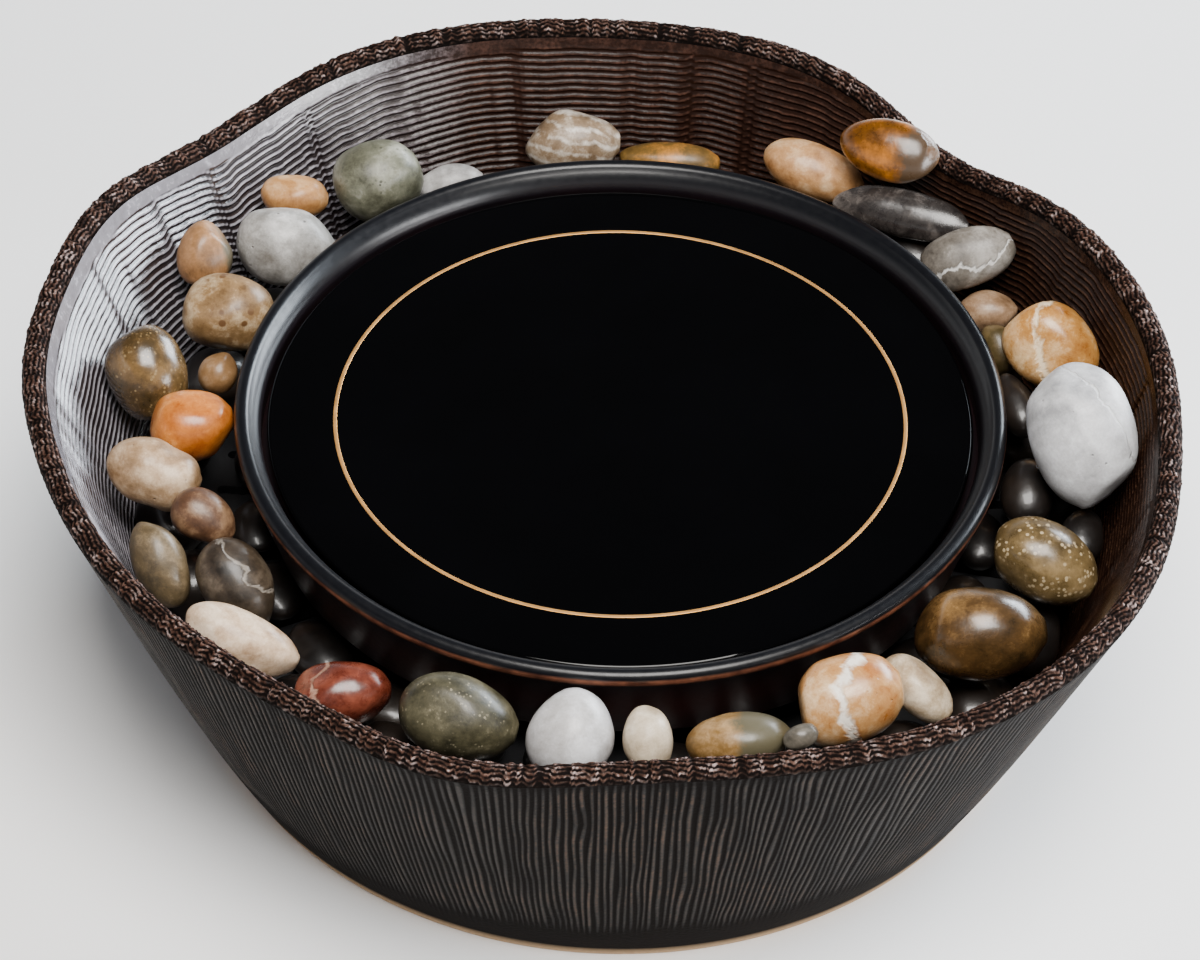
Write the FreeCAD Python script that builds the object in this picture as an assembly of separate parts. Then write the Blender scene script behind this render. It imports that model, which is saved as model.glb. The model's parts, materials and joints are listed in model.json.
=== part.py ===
"""Tabletop water fountain: a hand-thrown stoneware bowl with river pebbles round a glazed spill dish.

A submersible pump on the bowl's floor lifts water through the dish's floor. It wells up round the edge
of a mirror plate, fills the dish to its lip and runs down over the pebbles to the reservoir.

Frame: +Z up, origin at the middle of the foot ring, on the surface that the bowl stands on.
All sizes are in millimetres and all angles in degrees.
"""
import FreeCAD, Part
import math
import os

V = FreeCAD.Vector
X_AXIS = V(1, 0, 0)
Y_AXIS = V(0, 1, 0)
Z_AXIS = V(0, 0, 1)

# ---------------------------------------------------------------- driving dimensions
# Bowl
FOOT_RADIUS = 127.5        # outside of the wall where it meets the table
RIM_RADIUS = 171.0         # mean outside radius of the rim
RIM_HEIGHT = 118.0         # mean height of the rim
FLARE = 0.85               # how fast the wall opens with height; 1 would be a straight cone
RIM_SPREAD = 1.6           # how soon the rim's wander dies out below the rim
WALL = 7.0                 # wall of the bowl, measured level
FOOT_RING_INNER = 115.0    # the bare ring on which the bowl stands
FOOT_RECESS = 4.0          # depth of the turned recess inside the foot ring
FOOT_PAD_RADIUS = 48.0     # flat pad in the middle, which keeps so wide a floor from sagging
FLOOR_TOP = 12.0           # inside floor of the bowl

# The rim wanders: (bearing, outside radius, height), anticlockwise from -180 degrees.
RIM_STATIONS = [
    (-176, 178.0, 120.5), (-160, 174.0, 118.0), (-145, 170.5, 116.0), (-130, 166.5, 115.0),
    (-118, 168.0, 117.0), (-106, 173.5, 119.0), (-90, 163.0, 114.5), (-75, 166.5, 116.5),
    (-60, 175.0, 119.0), (-42, 178.5, 121.0), (-27, 174.0, 119.5), (-10, 167.0, 117.0),
    (6, 164.5, 119.0), (20, 159.0, 121.5), (34, 155.0, 117.0), (48, 153.0, 110.5),
    (60, 161.5, 115.0), (75, 167.0, 119.0), (92, 168.5, 120.0), (110, 176.0, 118.0),
    (125, 177.5, 116.0), (142, 175.0, 114.0), (157, 178.0, 122.0), (170, 177.5, 122.5),
]

# Spill dish and what lies in it
DISH_RADIUS = 115.0
DISH_RIM_Z = 103.0         # height of the lip over which the water spills
DISH_HEIGHT = 32.0         # lip to the underside of the floor
DISH_FLOOR = 5.5
DISH_TAPER = 8.0           # how much narrower the dish is at its underside
DISH_FOOT_INNER = 84.0
DISH_FOOT_OUTER = 92.0
DISH_FOOT_DEPTH = 3.0
LEDGE_INNER = 101.0        # the step that carries the plate
LEDGE_OUTER = 107.2
LEDGE_DROP = 13.2          # lip to ledge
INLET_HOLE = 8.2           # radius of the hole in the dish's floor
PLATE_RADIUS = 105.4
PLATE_THICKNESS = 5.0
PLATE_PAD_HEIGHT = 2.0
PLATE_PAD_RADIUS = 2.1
PLATE_PADS = 4
GOLD_RING_INNER = 84.6
GOLD_RING_WIDTH = 1.2
GOLD_RING_DEPTH = 0.6

# Stand under the dish and grate under the pebbles
STAND_RADIUS = 75.0
STAND_WALL = 3.0
STAND_FLANGE_INNER = 62.0
STAND_FLANGE_OUTER = 83.5
STAND_FLANGE_THICKNESS = 4.0
STAND_WINDOWS = 10
WINDOW_WIDTH = 26.0
WINDOW_TOP = 44.0
GRATE_TOP = 55.0
GRATE_THICKNESS = 3.0
GRATE_INNER = 75.6
GRATE_OUTER = 131.0
GRATE_SLOTS = 48
GRATE_LEGS = 8
GRATE_LEG_BEARING_RADIUS = 110.0

# Pump: the rotor's axis lies along X, and the outlet stands over the origin
PUMP_AXIS_Z = 30.0
PUMP_HALF_WIDTH = 17.0
PUMP_HALF_HEIGHT = 14.0
HOUSING_BACK = -52.0
HOUSING_FRONT = -6.0
COVER_FRONT = 6.0
STRAINER_FRONT = 15.0
STRAINER_WALL = 1.6
WELL_RADIUS = 7.2
WELL_END = -28.0
CHAMBER_RADIUS = 10.0
CHAMBER_FRONT = 4.0
EYE_RADIUS = 5.0
SHAFT_RADIUS = 1.15
SHAFT_CLEARANCE = 0.1
MAGNET_RADIUS = 6.3
SLEEVE_RADIUS = 2.6
IMPELLER_RADIUS = 9.0
IMPELLER_BLADES = 6
OUTLET_BORE = 4.0
OUTLET_RADIUS = 5.5
OUTLET_TOP = 52.5
HOSE_RADIUS = 7.5
HOSE_BOTTOM = 45.0
HOSE_TOP = 62.0
FIT_CLEARANCE = 0.1        # between the hose and the dish's inlet, which lifts out of it

# Pebbles of the lower layer, which lie on the grate: one ring against the wall, one under the dish's edge
OUTER_RING_PEBBLES = 27
OUTER_RING_WIDTH = 23.0
INNER_RING_PEBBLES = 24
INNER_RING_RADIUS = 110.0

# ---------------------------------------------------------------- worked-out heights
DISH_UNDERSIDE = DISH_RIM_Z - DISH_HEIGHT
DISH_FLOOR_TOP = DISH_UNDERSIDE + DISH_FLOOR
LEDGE_Z = DISH_RIM_Z - LEDGE_DROP
PLATE_BOTTOM = LEDGE_Z + PLATE_PAD_HEIGHT
PLATE_TOP = PLATE_BOTTOM + PLATE_THICKNESS
PUMP_BOTTOM = PUMP_AXIS_Z - PUMP_HALF_HEIGHT
PUMP_TOP = PUMP_AXIS_Z + PUMP_HALF_HEIGHT


# ---------------------------------------------------------------- helpers
def save(shape, name):
    """Write one node, after checking that it is sound."""
    if not shape.isValid():
        print("NOT VALID:", name)
    shape.exportStep("parts/" + name + ".step")
    print("%-26s solids %3d  volume %10.1f" % (name, len(shape.Solids), shape.Volume))


def polar(radius, bearing, z=0.0):
    """A point from its radius, bearing and height."""
    angle = math.radians(bearing)
    return V(radius * math.cos(angle), radius * math.sin(angle), z)


def tube(outer, inner, z0, z1, centre=V(0, 0, 0), axis=Z_AXIS):
    """A straight tube along an axis, from z0 to z1 of that axis; inner may be 0."""
    base = centre + axis * z0
    body = Part.makeCylinder(outer, z1 - z0, base, axis)
    if inner > 0:
        body = body.cut(Part.makeCylinder(inner, z1 - z0, base, axis))
    return body


def turned(edges):
    """A solid turned about Z from the edges of a closed outline in the XZ plane."""
    face = Part.Face(Part.Wire(edges))
    return face.revolve(V(0, 0, 0), Z_AXIS, 360)


def turned_polygon(points):
    """A solid turned about Z from (radius, z) corners."""
    corners = [V(r, 0, z) for r, z in points]
    return turned(Part.makePolygon(corners + corners[:1]).Edges)


def block(x0, x1, y0, y1, z0, z1):
    """A box from its six faces."""
    return Part.makeBox(x1 - x0, y1 - y0, z1 - z0, V(x0, y0, z0))


def rounded_block(x0, x1, y0, y1, z0, z1, radius):
    """A box with every edge that runs along X rounded."""
    body = block(x0, x1, y0, y1, z0, z1)
    long_edges = [e for e in body.Edges if abs(e.tangentAt(e.FirstParameter).x) > 0.9]
    return body.makeFillet(radius, long_edges)


def ring_of(shape, count, first=0.0):
    """Copies of a shape set evenly round Z."""
    copies = []
    for i in range(count):
        copy = shape.copy()
        copy.rotate(V(0, 0, 0), Z_AXIS, first + 360.0 * i / count)
        copies.append(copy)
    return copies


def arc(start, middle, end):
    """A circular arc through three (radius, z) points of an outline."""
    points = [V(r, 0, z) for r, z in (start, middle, end)]
    return Part.Arc(*points).toShape()


def line(start, end):
    """A straight edge between two (radius, z) points of an outline."""
    return Part.LineSegment(V(start[0], 0, start[1]), V(end[0], 0, end[1])).toShape()


# ---------------------------------------------------------------- bowl
def rim_samples(count):
    """Even samples of the wandering rim, each a point on its outer edge at rim height."""
    rim = Part.BSplineCurve()
    rim.interpolate(Points=[polar(r, b, h) for b, r, h in RIM_STATIONS], PeriodicFlag=True)
    first, last = rim.FirstParameter, rim.LastParameter
    return [rim.value(first + (last - first) * i / count) for i in range(count)]


def wall_radius(share, rim_radius):
    """Outside radius at a share of the rim's height, under a rim point of that radius."""
    share = max(share, 0.0)
    mean = FOOT_RADIUS + (RIM_RADIUS - FOOT_RADIUS) * share ** FLARE
    return mean + (rim_radius - RIM_RADIUS) * share ** RIM_SPREAD


def bowl_section(rim_point):
    """Poles of the wall's closed section under one rim point, up the outside and down the inside."""
    bearing = math.degrees(math.atan2(rim_point.y, rim_point.x))
    rim_radius = math.hypot(rim_point.x, rim_point.y)
    height = rim_point.z
    poles = [(FOOT_RING_INNER, -6.0), (FOOT_RADIUS - 1.0, -6.0)]
    shares = [0.015, 0.06, 0.14, 0.27, 0.42, 0.58, 0.74, 0.88, 0.955]
    poles += [(wall_radius(s, rim_radius), s * height) for s in shares]
    poles += [(rim_radius + 0.2, height - 0.8), (rim_radius - WALL / 2, height + 0.5),
              (rim_radius - WALL - 0.2, height - 0.8)]
    poles += [(wall_radius(s, rim_radius) - WALL, s * height) for s in reversed(shares[2:])]
    poles += [(FOOT_RADIUS - WALL, FLOOR_TOP - 1.0), (FOOT_RING_INNER, FLOOR_TOP - 3.0)]
    return [polar(r, bearing, z) for r, z in poles]


def evened(points):
    """Poles whose uniform cubic curve passes almost through the given closed run of points."""
    count = len(points)
    poles = []
    for i in range(count):
        bend = points[i - 1] - points[i] * 2 + points[(i + 1) % count]
        poles.append(points[i] - bend * (1.0 / 6.0))
    return poles


def bowl():
    """Thrown wall with a wandering rim, a floor and a bare foot ring."""
    sections = [bowl_section(p) for p in rim_samples(48)]
    columns = [evened(list(column)) for column in zip(*sections)]
    grid = [list(row) for row in zip(*columns)]
    around, across = len(grid), len(grid[0])
    surface = Part.BSplineSurface()
    surface.buildFromPolesMultsKnots(grid, [1] * (around + 1), [1] * (across + 1),
                                     list(range(around + 1)), list(range(across + 1)),
                                     True, True, 3, 3)
    wall = Part.Solid(Part.Shell([surface.toShape()]))
    if wall.Volume < 0:
        wall.reverse()
    floor = tube(FOOT_RING_INNER + 4.0, 0, FOOT_RECESS, FLOOR_TOP)
    pad = Part.makeCone(FOOT_PAD_RADIUS, FOOT_PAD_RADIUS + 3.0, FOOT_RECESS)
    below = block(-200, 200, -200, 200, -20, 0)
    return wall.fuse(floor).fuse(pad).cut(below)


# ---------------------------------------------------------------- spill dish, plate and inlet
def spill_dish():
    """Glazed dish: rounded lip, sloping inside, a ledge for the plate and a turned foot."""
    r, top = DISH_RADIUS, DISH_RIM_Z
    under = r - DISH_TAPER
    lip_out, lip_in = (r, top - 2.8), (r - 4.6, top - 1.3)
    slope_end = (LEDGE_OUTER, top - 7.2)
    wall_foot = (under, DISH_UNDERSIDE + 2.5)
    edges = [
        line(wall_foot, lip_out),
        arc(lip_out, (r - 2.4, top), lip_in),
        arc(lip_in, (r - 6.7, top - 3.8), slope_end),
        line(slope_end, (LEDGE_OUTER, LEDGE_Z)),
        line((LEDGE_OUTER, LEDGE_Z), (LEDGE_INNER, LEDGE_Z)),
        line((LEDGE_INNER, LEDGE_Z), (LEDGE_INNER, DISH_FLOOR_TOP + 3)),
        arc((LEDGE_INNER, DISH_FLOOR_TOP + 3), (LEDGE_INNER - 0.88, DISH_FLOOR_TOP + 0.88),
            (LEDGE_INNER - 3, DISH_FLOOR_TOP)),
        line((LEDGE_INNER - 3, DISH_FLOOR_TOP), (INLET_HOLE, DISH_FLOOR_TOP)),
        line((INLET_HOLE, DISH_FLOOR_TOP), (INLET_HOLE, DISH_UNDERSIDE)),
        line((INLET_HOLE, DISH_UNDERSIDE), (DISH_FOOT_INNER, DISH_UNDERSIDE)),
        line((DISH_FOOT_INNER, DISH_UNDERSIDE), (DISH_FOOT_INNER, DISH_UNDERSIDE - DISH_FOOT_DEPTH)),
        line((DISH_FOOT_INNER, DISH_UNDERSIDE - DISH_FOOT_DEPTH),
             (DISH_FOOT_OUTER, DISH_UNDERSIDE - DISH_FOOT_DEPTH)),
        line((DISH_FOOT_OUTER, DISH_UNDERSIDE - DISH_FOOT_DEPTH), (DISH_FOOT_OUTER, DISH_UNDERSIDE)),
        line((DISH_FOOT_OUTER, DISH_UNDERSIDE), (under - 2.5, DISH_UNDERSIDE)),
        arc((under - 2.5, DISH_UNDERSIDE), (under - 0.73, DISH_UNDERSIDE + 0.73), wall_foot),
    ]
    return turned(edges)


def gold_ring():
    """Thin metal ring that fills the groove in the plate."""
    return tube(GOLD_RING_INNER + GOLD_RING_WIDTH, GOLD_RING_INNER, PLATE_TOP - GOLD_RING_DEPTH, PLATE_TOP)


def mirror_plate():
    """Polished disc with an eased top edge and a groove for the ring."""
    disc = tube(PLATE_RADIUS, 0, PLATE_BOTTOM, PLATE_TOP)
    top_edge = [e for e in disc.Edges if e.BoundBox.ZMin > PLATE_TOP - 0.01]
    return disc.makeFillet(1.2, top_edge).cut(gold_ring())


def plate_pads():
    """Small feet that hold the plate off the ledge, so that water can pass."""
    centre = (LEDGE_INNER + PLATE_RADIUS) / 2
    pad = tube(PLATE_PAD_RADIUS, 0, LEDGE_Z, PLATE_BOTTOM, V(centre, 0, 0))
    return Part.makeCompound(ring_of(pad, PLATE_PADS, 45))


def inlet_fitting():
    """Threaded inlet through the dish's floor: flange and slotted spout above, hose tail below."""
    thread = INLET_HOLE - 0.4
    bottom_of_thread = DISH_UNDERSIDE - 8.0
    tail = OUTLET_RADIUS - FIT_CLEARANCE + 0.05
    points = [(OUTLET_BORE, DISH_FLOOR_TOP + 8.5), (6.5, DISH_FLOOR_TOP + 8.5), (6.5, DISH_FLOOR_TOP + 3),
              (12.0, DISH_FLOOR_TOP + 3), (12.0, DISH_FLOOR_TOP), (thread, DISH_FLOOR_TOP),
              (thread, DISH_UNDERSIDE)]
    pitch = 1.6
    for i in range(5):
        z = DISH_UNDERSIDE - pitch * i
        points += [(thread - 0.7, z - pitch / 2), (thread, z - pitch)]
    points += [(tail, bottom_of_thread), (tail, OUTLET_TOP + 1.5), (OUTLET_BORE, OUTLET_TOP + 1.5)]
    body = turned_polygon(points)
    slot = block(-7, 7, -1.25, 1.25, DISH_FLOOR_TOP + 4.5, DISH_FLOOR_TOP + 9)
    return body.cut(slot).cut(ring_of(slot, 1, 90)[0])


def inlet_seal():
    """Flat rubber washer between the dish's floor and the nut."""
    return tube(12.0, INLET_HOLE - 0.35, DISH_UNDERSIDE - 2.0, DISH_UNDERSIDE)


def inlet_nut():
    """Hexagonal nut that clamps the fitting to the dish's floor."""
    top = DISH_UNDERSIDE - 2.0
    corner = 13.5
    corners = [polar(corner, 60 * i, top - 5.0) for i in range(7)]
    hexagon = Part.Face(Part.makePolygon(corners)).extrude(V(0, 0, 5.0))
    hexagon = hexagon.common(Part.makeCone(14.0, 11.9, 6.0, V(0, 0, top - 5.6)).fuse(
        tube(12.6, 0, top - 5.0, top - 0.9)))
    return hexagon.cut(tube(INLET_HOLE - 0.35, 0, top - 6, top + 1))


def riser_hose():
    """Short silicone hose from the pump's outlet to the dish's inlet."""
    return tube(HOSE_RADIUS, OUTLET_RADIUS + 0.05, HOSE_BOTTOM, HOSE_TOP)


# ---------------------------------------------------------------- stand and grate
def dish_stand():
    """Drum over the pump: foot flange, arched windows, shoulder for the grate, flange for the dish."""
    inner = STAND_RADIUS - STAND_WALL
    top = DISH_UNDERSIDE
    shoulder_z = GRATE_TOP - GRATE_THICKNESS
    body = turned_polygon([
        (inner, FLOOR_TOP), (STAND_RADIUS + 4, FLOOR_TOP), (STAND_RADIUS + 4, FLOOR_TOP + 3),
        (STAND_RADIUS, FLOOR_TOP + 3), (STAND_RADIUS, shoulder_z - 4), (STAND_RADIUS + 4, shoulder_z - 2),
        (STAND_RADIUS + 4, shoulder_z), (STAND_RADIUS, shoulder_z),
        (STAND_RADIUS, top - STAND_FLANGE_THICKNESS), (STAND_FLANGE_OUTER, top - STAND_FLANGE_THICKNESS),
        (STAND_FLANGE_OUTER, top), (STAND_FLANGE_INNER, top),
        (STAND_FLANGE_INNER, top - STAND_FLANGE_THICKNESS), (inner, top - STAND_FLANGE_THICKNESS),
    ])
    half = WINDOW_WIDTH / 2
    reach = STAND_RADIUS + 10
    arch = Part.makeCylinder(half, 40, V(reach - 40, 0, WINDOW_TOP - half), X_AXIS)
    window = block(reach - 40, reach, -half, half, FLOOR_TOP + 5, WINDOW_TOP - half).fuse(arch)
    for opening in ring_of(window, STAND_WINDOWS):
        body = body.cut(opening)
    return body


def grate_leg():
    """One tapered leg under the grate."""
    foot = V(GRATE_LEG_BEARING_RADIUS, 0, FLOOR_TOP)
    return Part.makeCone(3.2, 4.6, GRATE_TOP - GRATE_THICKNESS - FLOOR_TOP, foot)


def pebble_grate():
    """Slotted ring on legs that carries the pebbles above the reservoir."""
    plate = tube(GRATE_OUTER, GRATE_INNER, GRATE_TOP - GRATE_THICKNESS, GRATE_TOP)
    half = 1.7
    r0, r1 = 88.0, 122.0
    slot = block(r0, r1, -half, half, GRATE_TOP - 5, GRATE_TOP + 2)
    slot = slot.fuse(tube(half, 0, GRATE_TOP - 5, GRATE_TOP + 2, V(r1, 0, 0)))
    for opening in ring_of(slot, GRATE_SLOTS, 180.0 / GRATE_SLOTS):
        plate = plate.cut(opening)
    stiffener = tube(GRATE_OUTER, GRATE_OUTER - 2.5, GRATE_TOP - 7, GRATE_TOP - GRATE_THICKNESS)
    plate = plate.fuse(stiffener)
    for leg in ring_of(grate_leg(), GRATE_LEGS, 180.0 / GRATE_LEGS):
        plate = plate.fuse(leg)
    return plate


# ---------------------------------------------------------------- pump
def stator_core():
    """Laminated U of the stator: two legs beside the rotor's well and a bridge behind it."""
    z0, z1 = PUMP_AXIS_Z - 6, PUMP_AXIS_Z + 6
    bridge = block(-46, -40, -13.4, 13.4, z0, z1)
    left = block(-46, -10, 8.6, 13.4, z0, z1)
    right = block(-46, -10, -13.4, -8.6, z0, z1)
    return bridge.fuse(left).fuse(right).removeSplitter()


def stator_coil():
    """Winding on the bridge of the core."""
    winding = rounded_block(-49.5, -36.5, -7.8, 7.8, PUMP_AXIS_Z - 9.5, PUMP_AXIS_Z + 9.5, 2.0)
    return winding.cut(block(-46, -40, -8, 8, PUMP_AXIS_Z - 6, PUMP_AXIS_Z + 6))


def along_x(outer, inner, x0, x1):
    """A tube on the rotor's axis."""
    return tube(outer, inner, x0, x1, V(0, 0, PUMP_AXIS_Z), X_AXIS)


def seal_groove():
    """Groove for the sealing ring, in the housing's front face."""
    return along_x(12.6, 11.0, HOUSING_FRONT - 1.4, HOUSING_FRONT)


def cover_screw(y, z):
    """One countersunk screw through the volute cover into the housing."""
    head = tube(2.1, 0, COVER_FRONT - 1.4, COVER_FRONT, V(0, y, z), X_AXIS)
    shank = tube(1.2, 0, HOUSING_FRONT - 7, COVER_FRONT - 1.4, V(0, y, z), X_AXIS)
    slot = block(COVER_FRONT - 0.6, COVER_FRONT + 1, y - 3, y + 3, z - 0.3, z + 0.3)
    cross = block(COVER_FRONT - 0.6, COVER_FRONT + 1, y - 0.3, y + 0.3, z - 3, z + 3)
    return head.fuse(shank).cut(slot).cut(cross)


def screw_places():
    """Where the four cover screws stand."""
    return [(sy * 13.8, PUMP_AXIS_Z + sz * 10.8) for sy in (-1, 1) for sz in (-1, 1)]


def screw_holes(shape):
    """The same holes in the housing and the cover."""
    for y, z in screw_places():
        shape = shape.cut(tube(2.1, 0, COVER_FRONT - 1.4, COVER_FRONT + 1, V(0, y, z), X_AXIS))
        shape = shape.cut(tube(1.2, 0, HOUSING_FRONT - 7, COVER_FRONT, V(0, y, z), X_AXIS))
    return shape


def cup_places():
    """Where the four suction cups sit under the housing."""
    return [V(x, y, 0) for x in (-45.0, -14.0) for y in (-10.0, 10.0)]


def suction_cup():
    """Soft cup with a stud that is pushed into the pump's underside."""
    return turned([
        line((0, PUMP_BOTTOM + 2.4), (1.6, PUMP_BOTTOM + 2.4)),
        line((1.6, PUMP_BOTTOM + 2.4), (1.6, PUMP_BOTTOM)),
        line((1.6, PUMP_BOTTOM), (2.6, PUMP_BOTTOM)),
        line((2.6, PUMP_BOTTOM), (2.8, PUMP_BOTTOM - 1.2)),
        arc((2.8, PUMP_BOTTOM - 1.2), (4.4, PUMP_BOTTOM - 2.2), (6.4, FLOOR_TOP)),
        line((6.4, FLOOR_TOP), (5.8, FLOOR_TOP)),
        arc((5.8, FLOOR_TOP), (3.5, FLOOR_TOP + 1.3), (1.0, FLOOR_TOP + 1.8)),
        line((1.0, FLOOR_TOP + 1.8), (0, FLOOR_TOP + 1.8)),
        line((0, FLOOR_TOP + 1.8), (0, PUMP_BOTTOM + 2.4)),
    ])


def pump_housing():
    """Moulded block that seals the stator and holds the rotor's well."""
    body = rounded_block(HOUSING_BACK, HOUSING_FRONT, -PUMP_HALF_WIDTH, PUMP_HALF_WIDTH,
                         PUMP_BOTTOM, PUMP_TOP, 4.0)
    body = body.cut(along_x(WELL_RADIUS, 0, WELL_END, HOUSING_FRONT + 1))
    body = body.cut(along_x(3.0, 0, WELL_END - 3, WELL_END + 1))
    body = body.cut(stator_core()).cut(stator_coil()).cut(seal_groove())
    for place in cup_places():
        body = body.cut(tube(1.6, 0, PUMP_BOTTOM - 1, PUMP_BOTTOM + 2.4, place))
    return screw_holes(body)


def rotor_shaft():
    """Ceramic shaft, held at both ends."""
    return along_x(SHAFT_RADIUS, 0, WELL_END - 2.5, COVER_FRONT - 0.5)


def shaft_bushes():
    """Two rubber bushes that hold the shaft."""
    rear = along_x(3.0, SHAFT_RADIUS, WELL_END - 2.5, WELL_END)
    rear = rear.fuse(along_x(3.0, 0, WELL_END - 3, WELL_END - 2.5))
    front = along_x(2.0, SHAFT_RADIUS, CHAMBER_FRONT, COVER_FRONT - 0.5)
    front = front.fuse(along_x(2.0, 0, COVER_FRONT - 0.5, COVER_FRONT))
    return Part.makeCompound([rear, front])


def rotor_magnet():
    """Ring magnet on the impeller's sleeve."""
    return along_x(MAGNET_RADIUS, SLEEVE_RADIUS, WELL_END + 1, WELL_END + 19)


def impeller():
    """Sleeve, back disc and curved blades in one moulding, free on the shaft."""
    bore = SHAFT_RADIUS + SHAFT_CLEARANCE
    body = along_x(SLEEVE_RADIUS, 0, WELL_END + 0.7, HOUSING_FRONT + 1)
    body = body.fuse(along_x(IMPELLER_RADIUS, 0, HOUSING_FRONT + 1, HOUSING_FRONT + 2.4))
    body = body.fuse(along_x(3.2, 0, HOUSING_FRONT + 2.4, CHAMBER_FRONT - 0.8))
    for i in range(IMPELLER_BLADES):
        ring = tube(7.2, 6.2, HOUSING_FRONT + 2.4, CHAMBER_FRONT - 1.0, V(0, 6.4, PUMP_AXIS_Z), X_AXIS)
        blade = ring.common(block(-8, 8, 0, 12, PUMP_AXIS_Z, PUMP_AXIS_Z + 12))
        blade = blade.common(along_x(IMPELLER_RADIUS, 2.9, -8, 8))
        blade.rotate(V(0, 0, PUMP_AXIS_Z), X_AXIS, 360.0 * i / IMPELLER_BLADES)
        body = body.fuse(blade)
    return body.cut(along_x(bore, 0, WELL_END, CHAMBER_FRONT + 1)).removeSplitter()


def cover_seal():
    """Round sealing ring between the housing and the volute cover."""
    ring = Part.makeTorus(11.8, 0.69, V(HOUSING_FRONT - 0.7, 0, PUMP_AXIS_Z), X_AXIS)
    return ring


def volute_cover():
    """Chamber round the impeller, with the intake eye in front and the outlet on top."""
    body = rounded_block(HOUSING_FRONT, COVER_FRONT, -PUMP_HALF_WIDTH, PUMP_HALF_WIDTH,
                         PUMP_BOTTOM, PUMP_TOP, 4.0)
    body = body.fuse(tube(OUTLET_RADIUS, 0, PUMP_TOP - 1, OUTLET_TOP))
    body = body.cut(tube(OUTLET_BORE, 0, PUMP_AXIS_Z + 5, OUTLET_TOP + 1))
    body = body.cut(along_x(CHAMBER_RADIUS, 0, HOUSING_FRONT - 1, CHAMBER_FRONT))
    body = body.cut(along_x(EYE_RADIUS, 0, CHAMBER_FRONT - 1, COVER_FRONT + 1))
    hub = along_x(2.8, 2.0, CHAMBER_FRONT, COVER_FRONT)
    for i in range(3):
        arm = block(CHAMBER_FRONT, COVER_FRONT, -0.8, 0.8, PUMP_AXIS_Z + 2.4, PUMP_AXIS_Z + EYE_RADIUS + 0.5)
        arm.rotate(V(0, 0, PUMP_AXIS_Z), X_AXIS, 120.0 * i)
        hub = hub.fuse(arm)
    return screw_holes(body.fuse(hub)).removeSplitter()


def cover_screws():
    """The four cover screws."""
    return Part.makeCompound([cover_screw(y, z) for y, z in screw_places()])


RAIL_OFFSET = 8.0          # from the rotor's axis to each rail's inner side
RAIL_LENGTH = 30.4         # between the rails' end stops
RAIL_DEPTH = 3.0
SLIDER_WIDTH = 14.0
SLIDER_GAP = 0.3


def strainer_rail(side):
    """One rail with its lip, above or below the flow slider."""
    half = RAIL_LENGTH / 2
    near = PUMP_AXIS_Z + side * RAIL_OFFSET
    far = PUMP_AXIS_Z + side * (RAIL_OFFSET + 2)
    lip = PUMP_AXIS_Z + side * (RAIL_OFFSET - 1.5)
    web = block(STRAINER_FRONT, STRAINER_FRONT + RAIL_DEPTH, -half, half, min(near, far), max(near, far))
    edge = block(STRAINER_FRONT + 2, STRAINER_FRONT + RAIL_DEPTH, -half, half, min(lip, far), max(lip, far))
    return web.fuse(edge)


def intake_strainer():
    """Pull-off cage over the intake eye, slotted on its front, top and sides, with the slider's rails."""
    w, t = PUMP_HALF_WIDTH, STRAINER_WALL
    body = rounded_block(COVER_FRONT, STRAINER_FRONT, -w, w, PUMP_BOTTOM, PUMP_TOP, 4.0)
    body = body.cut(rounded_block(COVER_FRONT - 1, STRAINER_FRONT - t, -w + t, w - t,
                                  PUMP_BOTTOM + t, PUMP_TOP - t, 2.4))
    for i in range(7):
        y = -12.6 + 4.2 * i
        body = body.cut(block(STRAINER_FRONT - 3, STRAINER_FRONT + 1, y - 1.0, y + 1.0,
                              PUMP_AXIS_Z - 6, PUMP_AXIS_Z + 6))
        body = body.cut(block(COVER_FRONT + 2.5, STRAINER_FRONT - 2.5, y - 1.0, y + 1.0,
                              PUMP_TOP - 3, PUMP_TOP + 1))
    for i in range(5):
        z = PUMP_AXIS_Z - 8.4 + 4.2 * i
        body = body.cut(block(COVER_FRONT + 2.5, STRAINER_FRONT - 2.5, -w - 1, w + 1, z - 1.0, z + 1.0))
    stop = block(STRAINER_FRONT, STRAINER_FRONT + RAIL_DEPTH, RAIL_LENGTH / 2, RAIL_LENGTH / 2 + 1.4,
                 PUMP_AXIS_Z - RAIL_OFFSET - 2, PUMP_AXIS_Z + RAIL_OFFSET + 2)
    other_stop = stop.mirror(V(0, 0, 0), Y_AXIS)
    for piece in (strainer_rail(1), strainer_rail(-1), stop, other_stop):
        body = body.fuse(piece)
    return body.removeSplitter()


def flow_slider():
    """Shutter that slides across the strainer's front slots, with a finger rib."""
    half = SLIDER_WIDTH / 2
    reach = RAIL_OFFSET - SLIDER_GAP
    plate = block(STRAINER_FRONT + SLIDER_GAP, STRAINER_FRONT + 2 - SLIDER_GAP, -half, half,
                  PUMP_AXIS_Z - reach, PUMP_AXIS_Z + reach)
    rib = block(STRAINER_FRONT + 1, STRAINER_FRONT + 5, -1.2, 1.2, PUMP_AXIS_Z - 5, PUMP_AXIS_Z + 5)
    return plate.fuse(rib).removeSplitter()


def suction_cups():
    """The four suction cups."""
    cups = []
    for place in cup_places():
        cup = suction_cup()
        cup.translate(place)
        cups.append(cup)
    return Part.makeCompound(cups)


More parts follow.
